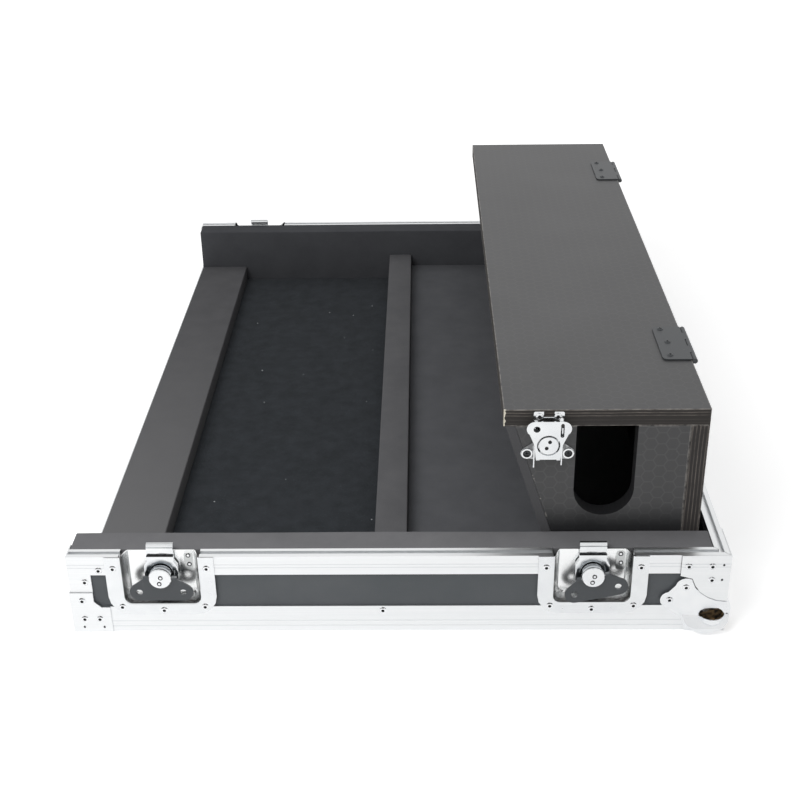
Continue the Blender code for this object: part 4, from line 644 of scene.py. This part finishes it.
LID_PLY = {"comb_share": 0.05, "plies": LID_LINES, "edge": "2A2725", "chip": True}
FRONT_PLY = {"comb_share": 0.1, "plies": NO_LINES, "edge": "48484A"}
BOX_END_PLY = {"edge": "222122", "rim": 3 * MM}
LOOKS = {
    "side_rim": anodised_aluminium("anodised_rim_along_side", "X", RIM_GROOVES),
    "end_rim": anodised_aluminium("anodised_rim_across_end", "Y", RIM_GROOVES),
    "side_edge": anodised_aluminium("anodised_angle_along_side", "X", EDGE_GROOVES),
    "end_edge": anodised_aluminium("anodised_angle_across_end", "Y", EDGE_GROOVES),
    "zinc": zinc_plated_steel("zinc_plated_pressing"),
    "dish": drawn_zinc(),
    "boss": turned_zinc(),
    "channel": plated_channel(),
    "bright_zinc": zinc_plated_steel("bright_zinc_latch", 0.16, "EEF0F1", "E4E6E8"),
    "rivet": set_rivet(),
    "hook": hook_zinc(),
    "recess": dark_recess(),
    "wing": black_steel("black_coated_wing", "4A4D50", 0.5, 0.0),
    "hinge": black_steel("black_zinc_hinge", "4B4D4F", 0.4, 0.4),
    "laminate": charcoal_laminate(),
    "floor": film_ply("stained_floor_ply", "floor_panel", (0, 0, 1), "4D4D50", "535355", 0.0),
    "lid": film_ply("lid_film_ply", "box_lid", (0, 0, 1), "3C3C3D", "424243", **LID_PLY),
    "back": film_ply("box_back_film_ply", "box_back", (1, 0, 0), "464647", "4B4B4C"),
    "front": film_ply("box_front_film_ply", "box_front", FRONT_NORMAL, "464647", "4B4B4C", **FRONT_PLY),
    "near_end": film_ply("near_end_film_ply", "box_near_end", (0, 1, 0), "3C3C3D", "414142", **BOX_END_PLY),
    "far_end": film_ply("far_end_film_ply", "box_far_end", (0, 1, 0), "3C3C3D", "414142", **BOX_END_PLY),
    # Painted light: these are one charcoal foam, lighter on the near liner, darker on the far liner, front
    # block and rear pad
    "near_foam": cut_foam("charcoal_foam_near", "6A6A6C", "717173"),
    "foam": cut_foam("charcoal_foam", "58585A", "5E5E60"),
    "front_foam": cut_foam("charcoal_foam_front", "525254", "58585A", "6A6A6B"),
    "pad_foam": cut_foam("charcoal_foam_pad", "525356", "58595C"),
    "far_foam": cut_foam("charcoal_foam_far", "46474A", "4B4C4F"),
    "felt": needle_felt(),
    "rubber": wheel_rubber(),
}


def look_of(node):
    """The finish of a CAD node, from its name."""
    if node.endswith("_rim"):
        return "end_rim" if node.startswith("rear") else "side_rim"
    if node.endswith("base_edge"):
        return "side_edge" if node.startswith(("near", "far")) else "end_edge"
    if node.endswith("side_panel") or node == "rear_end_panel":
        return "laminate"
    if node.endswith("latch_wing") and not node.startswith("box"):
        return "wing"
    if node.endswith("_dish"):
        return "dish"
    if node.endswith("_boss") and not node.startswith("box"):
        return "boss"
    if node.endswith("_latch_base"):
        return "channel"
    if node.endswith("_latch_hook") and not node.startswith("box"):
        return "hook"
    if node.endswith(("_hook", "_boss", "_wing", "_keeper")):
        return "bright_zinc"
    if node.endswith("_cover"):
        return "zinc"
    if "hinge" in node:
        return "hinge"
    if node.endswith("_wheel"):
        return "rubber"
    named = {
        "floor_panel": "floor", "box_lid": "lid", "box_back": "back", "box_front": "front",
        "box_near_end": "near_end", "box_far_end": "far_end", "bay_carpet": "felt",
    }
    return named.get(node, "foam")


def dress_nodes():
    for name, node in nodes.items():
        node.data.materials.clear()
        node.data.materials.append(LOOKS[look_of(name)])


def only(piece):
    """Makes the piece the one selected and active object."""
    bpy.ops.object.select_all(action="DESELECT")
    piece.select_set(True)
    bpy.context.view_layer.objects.active = piece


def edit(piece):
    only(piece)
    bpy.ops.object.mode_set(mode="EDIT")
    bpy.ops.mesh.select_all(action="DESELECT")


def done():
    bpy.ops.object.mode_set(mode="OBJECT")


def pick(piece, kind, wanted):
    """Selects, in edit mode, the faces, edges or verts of the piece that wanted(...) is true for."""
    work = bmesh.from_edit_mesh(piece.data)
    bpy.ops.mesh.select_all(action="DESELECT")
    for part in getattr(work, kind):
        if wanted(part):
            part.select_set(True)
    bmesh.update_edit_mesh(piece.data)


def settle(piece, look, body, angle=30):
    """Puts the piece's place in its mesh and lets it ride on its body. Without a look it keeps its own."""
    only(piece)
    bpy.ops.object.transform_apply(location=True, rotation=True, scale=True)
    for step in list(piece.modifiers):
        bpy.ops.object.modifier_apply(modifier=step.name)
    bpy.ops.object.shade_smooth_by_angle(angle=math.radians(angle))
    if look:
        piece.data.materials.clear()
        piece.data.materials.append(LOOKS[look])
    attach(piece, body)


def domed_head(name, radius, foot, rings, sides, look="rivet"):
    """A fastener's head with its foot at the origin, facing +Z; rings are steps inwards with their rises."""
    bpy.ops.mesh.primitive_cylinder_add(vertices=sides, radius=radius, depth=foot, location=(0, 0, foot / 2))
    head = bpy.context.object
    head.name = name
    head.data.materials.append(LOOKS[look])
    head.data.materials.append(LOOKS["recess"])
    only(head)
    bpy.ops.object.transform_apply(location=True, rotation=True, scale=True)
    edit(head)
    pick(head, "faces", lambda face: face.normal.z > 0.9)
    for step, rise in rings:
        bpy.ops.mesh.inset(thickness=step, depth=rise)
    done()
    return head


def stain(head, inner, outer):
    """Gives the dark recess finish, dirt and painted shade, to the faces of a head between two radii."""
    edit(head)

    def in_ring(face):
        centre = face.calc_center_median()
        return centre.z > 0 and inner <= centre.xy.length < outer and face.normal.z > -0.5

    pick(head, "faces", in_ring)
    head.active_material_index = 1
    bpy.ops.object.material_slot_assign()
    done()


def cut_away(piece, tool):
    """Takes the tool's shape out of the piece."""
    step = piece.modifiers.new("cut", "BOOLEAN")
    step.operation = "DIFFERENCE"
    step.object = tool
    only(piece)
    bpy.ops.object.modifier_apply(modifier=step.name)
    bpy.data.objects.remove(tool, do_unlink=True)


def cross_recess(head, radius, top, depth):
    """Cuts a cross, tapered like a driver's tip, into the top of a screw's head."""
    for turn in (0, 90):
        bpy.ops.mesh.primitive_cube_add(size=1, location=(0, 0, top), rotation=(0, 0, math.radians(turn)))
        bar = bpy.context.object
        bar.scale = (radius * 2, radius * 0.5, depth * 2)
        only(bar)
        bpy.ops.object.transform_apply(location=True, rotation=True, scale=True)
        edit(bar)
        pick(bar, "faces", lambda face: face.normal.z < -0.9)
        bpy.ops.transform.resize(value=(0.7, 0.7, 1), center_override=(0, 0, 0))
        done()
        cut_away(head, bar)

    def in_cross(face):
        centre = face.calc_center_median()
        return centre.z < top - depth * 0.3 and centre.xy.length < radius

    # The cross takes the dark recess finish: dirt and painted shade
    edit(head)
    pick(head, "faces", in_cross)
    head.active_material_index = 1
    bpy.ops.object.material_slot_assign()
    done()


def towards(direction):
    """The turn that takes +Z to a direction."""
    return Vector(direction).to_track_quat("Z", "Y").to_matrix().to_4x4()


def fasteners(name, head, places, direction, body):
    """Copies of one head, at the places and facing one way, as one piece."""
    copies = []
    for place in places:
        one = bpy.data.objects.new(name, head.data.copy())
        bpy.context.scene.collection.objects.link(one)
        one.matrix_world = Matrix.Translation(place) @ towards(direction)
        copies.append(one)
    bpy.ops.object.select_all(action="DESELECT")
    for one in copies:
        one.select_set(True)
    bpy.context.view_layer.objects.active = copies[0]
    if len(copies) > 1:
        bpy.ops.object.join()
    copies[0].name = name
    settle(copies[0], None, body, 40)


def on_side(side, table, out=0.0):
    """World places of a table of tray coordinates in millimetres, on one long side."""
    y = SIDES[side] * (SIDE_FACE + out)
    return [Vector((FRONT_FACE + x * MM, y, z * MM)) for x, z in table]


def beside_boss(side, boss, table, y):
    """World places, at one Y, of a table of millimetres to the right of a boss, seen from outside, and up."""
    return [Vector((boss.x - SIDES[side] * x * MM, y, boss.z + z * MM)) for x, z in table]


def build_rivets():
    rivet = domed_head("rivet_pattern", RIVET_R, 0.2 * MM, (
        (0.6 * MM, 0.7 * MM), (0.7 * MM, 0.2 * MM), (0.7 * MM, 0.05 * MM), (0.12 * MM, -0.7 * MM)), 20)
    stain(rivet, 0, RIVET_HOLE)
    pip = domed_head("pip_pattern", PIP_R, 0.12 * MM, ((0.3 * MM, 0.2 * MM), (0.55 * MM, -0.12 * MM)), 12)
    stain(pip, 0, 0.9 * MM)
    ringed = domed_head("ringed_rivet_pattern", RINGED_R, 0.2 * MM, (
        (0.2 * MM, 0.15 * MM), (0.25 * MM, -0.2 * MM), (0.65 * MM, -0.02 * MM), (0.15 * MM, 0.3 * MM)), 18)
    stain(ringed, 1.4 * MM, 2.3 * MM)
    dark = domed_head("hollow_rivet_pattern", HOLLOW_R, 0.15 * MM, (
        (0.25 * MM, 0.1 * MM), (0.2 * MM, -0.2 * MM), (0.7 * MM, 0.02 * MM)), 16)
    stain(dark, 0, 2.0 * MM)
    for side, sign in SIDES.items():
        out = (0, sign, 0)
        corner = on_side(side, FOOT_RIVETS, PLATE_OUT) + on_side(side, ANGLE_RIVETS)
        fasteners(f"{side}_front_corner_rivets", rivet, corner, out, "tray")
        pips = on_side(side, FOOT_PIPS, PLATE_OUT) + on_side(side, BRACKET_PIPS, PLATE_OUT)
        fasteners(f"{side}_plate_pips", pip, pips, out, "tray")
        bracket = on_side(side, BRACKET_RIVETS, PLATE_OUT)
        fasteners(f"{side}_rear_bracket_rivets", rivet, bracket, out, "tray")
        cover = on_side(side, COVER_RIVETS, PLATE_OUT)
        fasteners(f"{side}_wheel_cover_rivets", rivet, cover, out, "tray")
        fasteners(f"{side}_base_edge_rivet", rivet, on_side(side, [BASE_RIVET]), out, "tray")
        for place in ("front", "rear"):
            latch = f"{side}_{place}_latch"
            boss = middle(f"{latch}_boss")
            foot = Vector((boss.x, 0, 0))
            dish = beside_boss(side, foot, DISH_RIVETS, sign * (SIDE_FACE + PLATE_OUT))
            fasteners(f"{latch}_dish_rivets", rivet, dish, out, "tray")
            tab = beside_boss(side, foot, TAB_RIVETS, sign * (SIDE_FACE - TAB_FACE))
            fasteners(f"{latch}_tab_rivets", ringed, tab, out, "tray")
            ends = beside_boss(side, boss, BOSS_RIVETS, sign * (SIDE_FACE + BOSS_OUT))
            fasteners(f"{latch}_boss_rivets", ringed, ends, out, f"{latch}_boss")
        face = sign * max(abs(corner.y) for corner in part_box(f"box_{side}_latch_boss"))
        axle = Vector((middle(f"box_{side}_latch_boss").x, 0, BOX_BOSS_Z))
        dots = beside_boss(side, axle, BOX_BOSS_RIVETS, face)
        fasteners(f"box_{side}_boss_rivets", dark, dots, out, f"box_{side}_latch_boss")
        front = [Vector((FRONT_FACE - PLATE_OUT, sign * (SIDE_FACE - y * MM), z * MM)) for y, z in END_RIVETS]
        fasteners(f"{side}_front_end_rivets", rivet, front, (-1, 0, 0), "tray")
        from_rear = [(REAR_FACE - FRONT_FACE - x * MM, z * MM) for x, z in BRACKET_RIVETS]
        rear = [Vector((REAR_FACE + PLATE_OUT, sign * (SIDE_FACE - inwards), z)) for inwards, z in from_rear]
        fasteners(f"{side}_rear_end_rivets", rivet, rear, (1, 0, 0), "tray")
    for head in (rivet, pip, ringed, dark):
        bpy.data.objects.remove(head, do_unlink=True)


def build_screws():
    screw = domed_head("screw_pattern", SCREW_R, 0.3 * MM, (
        (0.5 * MM, 0.6 * MM), (0.7 * MM, 0.3 * MM), (0.9 * MM, 0.1 * MM)), 20, "hinge")
    cross_recess(screw, 2.3 * MM, 1.45 * MM, 0.9 * MM)
    for place in SIDES:
        along = middle(f"{place}_hinge_lid_leaf").y
        across = [(back * MM, along + y * MM) for back, y in HINGE_SCREWS]
        top = [Vector((LID_HIGH.x - back, y, LID_HIGH.z + LEAF_OUT)) for back, y in across]
        fasteners(f"{place}_hinge_lid_screws", screw, top, (0, 0, 1), "lid")
        behind = [Vector((LID_HIGH.x + LEAF_OUT, y, LID_HIGH.z - down)) for down, y in across]
        fasteners(f"{place}_hinge_back_screws", screw, behind, (1, 0, 0), "tray")
    pan = domed_head("pan_pattern", PAN_R, 0.5 * MM, (
        (0.4 * MM, 0.6 * MM), (0.7 * MM, 0.4 * MM), (0.8 * MM, 0.15 * MM)), 18, "bright_zinc")
    cross_recess(pan, 1.3 * MM, 1.9 * MM, 0.6 * MM)
    for side, sign in SIDES.items():
        keeper = middle(f"{side}_keeper")
        face = sign * (BOX_END + KEEPER_OUT)
        heads = [Vector((keeper.x + x * MM, face, keeper.z + KEEPER_SCREW_RISE * MM)) for x in KEEPER_SCREWS]
        fasteners(f"{side}_keeper_screws", pan, heads, (0, sign, 0), "lid")
        axle = middle(f"box_{side}_latch_boss").x
        for hand, x in (("left", -EAR_REACH), ("right", EAR_REACH)):
            ear = Vector((axle + x * MM, sign * (BOX_END + EAR_OUT), BOX_BOSS_Z - EAR_FALL * MM))
            fasteners(f"box_{side}_{hand}_ear_screw", screw, [ear], (0, sign, 0), "tray")
    for head in (screw, pan):
        bpy.data.objects.remove(head, do_unlink=True)


def soften(piece, width, segments):
    """Rounds the sharp edges of a piece with a live bevel, which settle applies; gives back the step."""
    step = piece.modifiers.new("soft edges", "BEVEL")
    step.width = width
    step.segments = segments
    step.limit_method = "ANGLE"
    step.angle_limit = math.radians(40)
    return step


def hook_plate(name, boss_x, side, size):
    """One plate on the front of a recessed hook; its sizes come from a table above."""
    deep = SIDES[side] * (SIDE_FACE - (size["front"] + size["back"]) / 2)
    place = (boss_x, deep, (size["low"] + size["top"]) / 2)
    bpy.ops.mesh.primitive_cube_add(size=1, location=place)
    plate = bpy.context.object
    plate.name = name
    plate.scale = (size["half"] * 2, size["back"] - size["front"], size["top"] - size["low"])
    only(plate)
    bpy.ops.object.transform_apply(location=True, rotation=True, scale=True)
    return plate


def build_hook_plates():
    for side, sign in SIDES.items():
        for place in ("front", "rear"):
            latch = f"{side}_{place}_latch"
            boss = middle(f"{latch}_boss")
            lower = hook_plate(f"{latch}_hook_lower_plate", boss.x, side, HOOK_LOWER)
            edit(lower)
            for level in (HOOK_LOWER["shoulder"], HOOK_LOWER["neck_z"]):
                bpy.ops.mesh.select_all(action="SELECT")
                bpy.ops.mesh.bisect(plane_co=(0, 0, level), plane_no=(0, 0, 1))
            pick(lower, "verts", lambda vertex: vertex.co.z > HOOK_LOWER["neck_z"] - 0.1 * MM)
            narrow = HOOK_LOWER["neck"] / HOOK_LOWER["half"]
            bpy.ops.transform.resize(value=(narrow, 1, 1), center_override=(boss.x, 0, 0))
            done()
            deep = sign * (SIDE_FACE - HOOK_CUT)
            top, foot = boss.z + HOOK_SLOT_RISE, boss.z - HOOK_SLOT_FALL
            for height in (top, foot):
                bpy.ops.mesh.primitive_cylinder_add(
                    vertices=48, radius=HOOK_SLOT_R, depth=CUTTER_LENGTH,
                    location=(boss.x, deep, height), rotation=(math.radians(90), 0, 0),
                )
                cut_away(lower, bpy.context.object)
            bpy.ops.mesh.primitive_cube_add(size=1, location=(boss.x, deep, (top + foot) / 2))
            bpy.context.object.scale = (HOOK_SLOT_R * 2 - 0.02 * MM, CUTTER_LENGTH, top - foot)
            cut_away(lower, bpy.context.object)
            lower.data.materials.append(LOOKS["hook"])
            lower.data.materials.append(LOOKS["recess"])
            # Painted shadow: the lower plate's top face takes the dark recess finish, for the slit under the
            # upper plate
            edit(lower)
            pick(lower, "faces", lambda face: face.calc_center_median().z > HOOK_LOWER["top"] - 0.1 * MM)
            lower.active_material_index = 1
            bpy.ops.object.material_slot_assign()
            done()
            upper = hook_plate(f"{latch}_hook_upper_plate", boss.x, side, HOOK_UPPER)
            for plate in (lower, upper):
                soften(plate, 0.35 * MM, 2)
                settle(plate, None if plate is lower else "hook", f"{latch}_hook")


def foam_block(name, node, edge, look="foam", back_top=0.0, outer=0.0, well=False):
    """A bar of cut foam over its CAD solid: softened edges, and a top that wanders by part of a millimetre.

    back_top is how far its rear face leans forward, outer how far its outer face lies inside the tray's
    side, and well whether the wheel's hollow is cut into it.
    """
    low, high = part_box(node)
    side = 1 if low.y > 0 else -1
    if outer:
        (high if side > 0 else low).y = side * (SIDE_FACE - outer)
    bpy.ops.mesh.primitive_cube_add(size=1, location=(low + high) / 2)
    block = bpy.context.object
    block.name = name
    block.scale = high - low
    only(block)
    bpy.ops.object.transform_apply(location=True, rotation=True, scale=True)
    size = high - low
    longest = max(range(3), key=lambda axis: size[axis])
    edit(block)
    pick(block, "edges", lambda part: abs((part.verts[0].co - part.verts[1].co)[longest]) > size[longest] / 2)
    bpy.ops.mesh.subdivide(number_cuts=23)
    done()
    for vertex in block.data.vertices:
        if back_top and vertex.co.z > high.z - MM and vertex.co.x > high.x - MM:
            vertex.co.x -= back_top
        along = vertex.co[longest]
        inner = min(abs(along - low[longest]), abs(along - high[longest]))
        if vertex.co.z > high.z - MM:
            wave = math.sin(along * SWAY_ALONG + vertex.co.z * SWAY_UP) * min(1, inner / SWAY_END)
            vertex.co.z += SWAY * (wave - 1)
    bevel = soften(block, edge, 3)
    if well:
        only(block)
        bpy.ops.object.modifier_apply(modifier=bevel.name)
        bpy.ops.mesh.primitive_cylinder_add(
            vertices=48, radius=WELL_R, depth=WELL_LENGTH, rotation=(math.radians(90), 0, 0),
            location=(FRONT_FACE + WELL_X, side * (SIDE_FACE - WELL_IN + WELL_LENGTH / 2), WELL_Z),
        )
        cut_away(block, bpy.context.object)
    settle(block, look, "tray", 50)
    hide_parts(node)


def back_top_of(node):
    """How far the top of a CAD solid's rear face lies in front of its foot."""
    points = [vertex.co for vertex in nodes[node].data.vertices]
    top = max(point.z for point in points)
    return max(point.x for point in points) - max(point.x for point in points if point.z > top - MM)


def build_foam():
    for side in SIDES:
        # Painted light: the near liner takes the lighter copy of the foam, the far liner the darker
        look = "near_foam" if side == "near" else "far_foam"
        foam_block(f"{side}_liner_foam", f"{side}_liner", 1.2 * MM, look, outer=LINER_FACE, well=True)
    foam_block("front_block_foam", "front_block", 1.6 * MM, "front_foam")
    foam_block("centre_bar_foam", "centre_bar", 1.6 * MM)
    foam_block("rear_pad_foam", "rear_pad", 0.8 * MM, "pad_foam", back_top_of("rear_pad"))


def build_carpet():
    """Needle felt laid in the front bay: a sheet that fills its CAD solid, with a faintly uneven face."""
    low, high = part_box("bay_carpet")
    size = high - low
    bpy.ops.mesh.primitive_grid_add(
        x_subdivisions=30, y_subdivisions=110, size=1,
        location=((low.x + high.x) / 2, (low.y + high.y) / 2, high.z),
    )
    felt = bpy.context.object
    felt.name = "bay_carpet_felt"
    felt.scale = (size.x, size.y, 1)
    only(felt)
    bpy.ops.object.transform_apply(location=True, rotation=True, scale=True)
    for vertex in felt.data.vertices:
        x, y = vertex.co.x, vertex.co.y
        vertex.co.z -= 0.2 * MM * (2 + math.sin(61 * x + 17 * y) + math.sin(43 * y - 29 * x))
    step = felt.modifiers.new("thickness", "SOLIDIFY")
    step.thickness = size.z - 0.9 * MM
    step.offset = -1
    settle(felt, "felt", "tray", 50)
    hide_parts("bay_carpet")


def build_camera():
    sensor = bpy.data.cameras.new("camera")
    sensor.lens = LENS
    sensor.sensor_width = SENSOR
    camera = bpy.data.objects.new("camera", sensor)
    bpy.context.scene.collection.objects.link(camera)
    yaw, pitch, roll = CAMERA_YAW, CAMERA_PITCH, CAMERA_ROLL
    ahead = Vector((math.sin(yaw) * math.cos(pitch), math.cos(yaw) * math.cos(pitch), -math.sin(pitch)))
    level = Vector((math.cos(yaw), -math.sin(yaw), 0))
    below = ahead.cross(level)
    right = level * math.cos(roll) + below * math.sin(roll)
    down = below * math.cos(roll) - level * math.sin(roll)
    turn = Matrix((right, -down, -ahead)).transposed().to_4x4()
    camera.matrix_world = Matrix.Translation(CAMERA_PLACE) @ turn
    bpy.context.scene.camera = camera


def lamp(name, place, target, width, height, power):
    """A softbox that lights the object and isn't seen in its metal."""
    light = bpy.data.lights.new(name, "AREA")
    light.shape = "RECTANGLE"
    light.size, light.size_y = width, height
    light.energy = power
    holder = bpy.data.objects.new(name, light)
    bpy.context.scene.collection.objects.link(holder)
    holder.location = place
    holder.rotation_euler = (Vector(target) - Vector(place)).to_track_quat("-Z", "Y").to_euler()
    holder.visible_glossy = False


def white_paper():
    """White paper of the sweep. It glows to the camera, most of all far away, and faintly to the metal."""
    made, tree, shader, place = new_material("white_paper_sweep", 0.9, **{"Specular IOR Level": 0.0})
    shader.inputs["Base Color"].default_value = linear("F4F4F4")
    rays = add(tree, "LightPath").node.outputs
    away = add(tree, "VectorMath", (place,), operation="LENGTH")
    far = add(tree, "MapRange", (away, 0.8, 2.0, 0.45, 1.1))
    seen = add(tree, "Math", (rays["Is Camera Ray"], far), operation="MULTIPLY")
    glow = add(tree, "Math", (rays["Is Glossy Ray"], 0.16, seen), operation="MULTIPLY_ADD")
    shader.inputs["Emission Color"].default_value = (1, 1, 1, 1)
    tree.links.new(glow, shader.inputs["Emission Strength"])
    return made


def light_tent():
    """A tent that is white to the camera and to metal, except its dim top, and lights the case softly."""
    tent = bpy.data.worlds.new("studio_air")
    bpy.context.scene.world = tent
    tent.use_nodes = True
    tree = tent.node_tree
    tree.nodes.clear()
    rays = add(tree, "LightPath").node.outputs
    glossy = rays["Is Glossy Ray"]
    height = add(tree, "SeparateXYZ", (add(tree, "TexCoord", output="Generated"),), "Z")
    top = add(tree, "MapRange", (height, 0.8, 0.97, 1.0, 0.3))
    mirrored = add(tree, "Math", (glossy, top), operation="MULTIPLY")
    matt = add(tree, "Math", (1.0, glossy), operation="SUBTRACT")
    soft = add(tree, "MapRange", (height, 0.0, 1.0, 0.3, 0.55))
    lit = add(tree, "Math", (matt, soft), operation="MULTIPLY")
    strength = add(tree, "Math", (mirrored, lit), operation="MAXIMUM")
    strength = add(tree, "Math", (rays["Is Camera Ray"], strength), operation="MAXIMUM")
    air = add(tree, "Background", {"Color": (1, 1, 1, 1), "Strength": strength})
    add(tree, "OutputWorld", {"Surface": air})


def build_studio():
    """White paper sweep under a white tent whose top is open and dim, which draws the rivets' upper rims."""
    bpy.ops.mesh.primitive_plane_add(size=14, location=(0, 2, -0.2 * MM))
    ground = bpy.context.object
    ground.name = "studio_floor"
    only(ground)
    bpy.ops.object.transform_apply(location=True, rotation=True, scale=True)
    ground.data.materials.append(white_paper())
    light_tent()
    lamp("key_softbox", (-0.75, -1.15, 1.45), (0, -0.1, 0), 1.1, 1.1, 19)
    lamp("overhead_softbox", (0.1, 0.5, 2.3), (0, 0, 0), 2.0, 2.0, 7)
    bpy.context.scene.view_settings.view_transform = "Standard"


build_camera()
dress_nodes()
build_rivets()
build_screws()
build_hook_plates()
build_foam()
build_carpet()
build_studio()
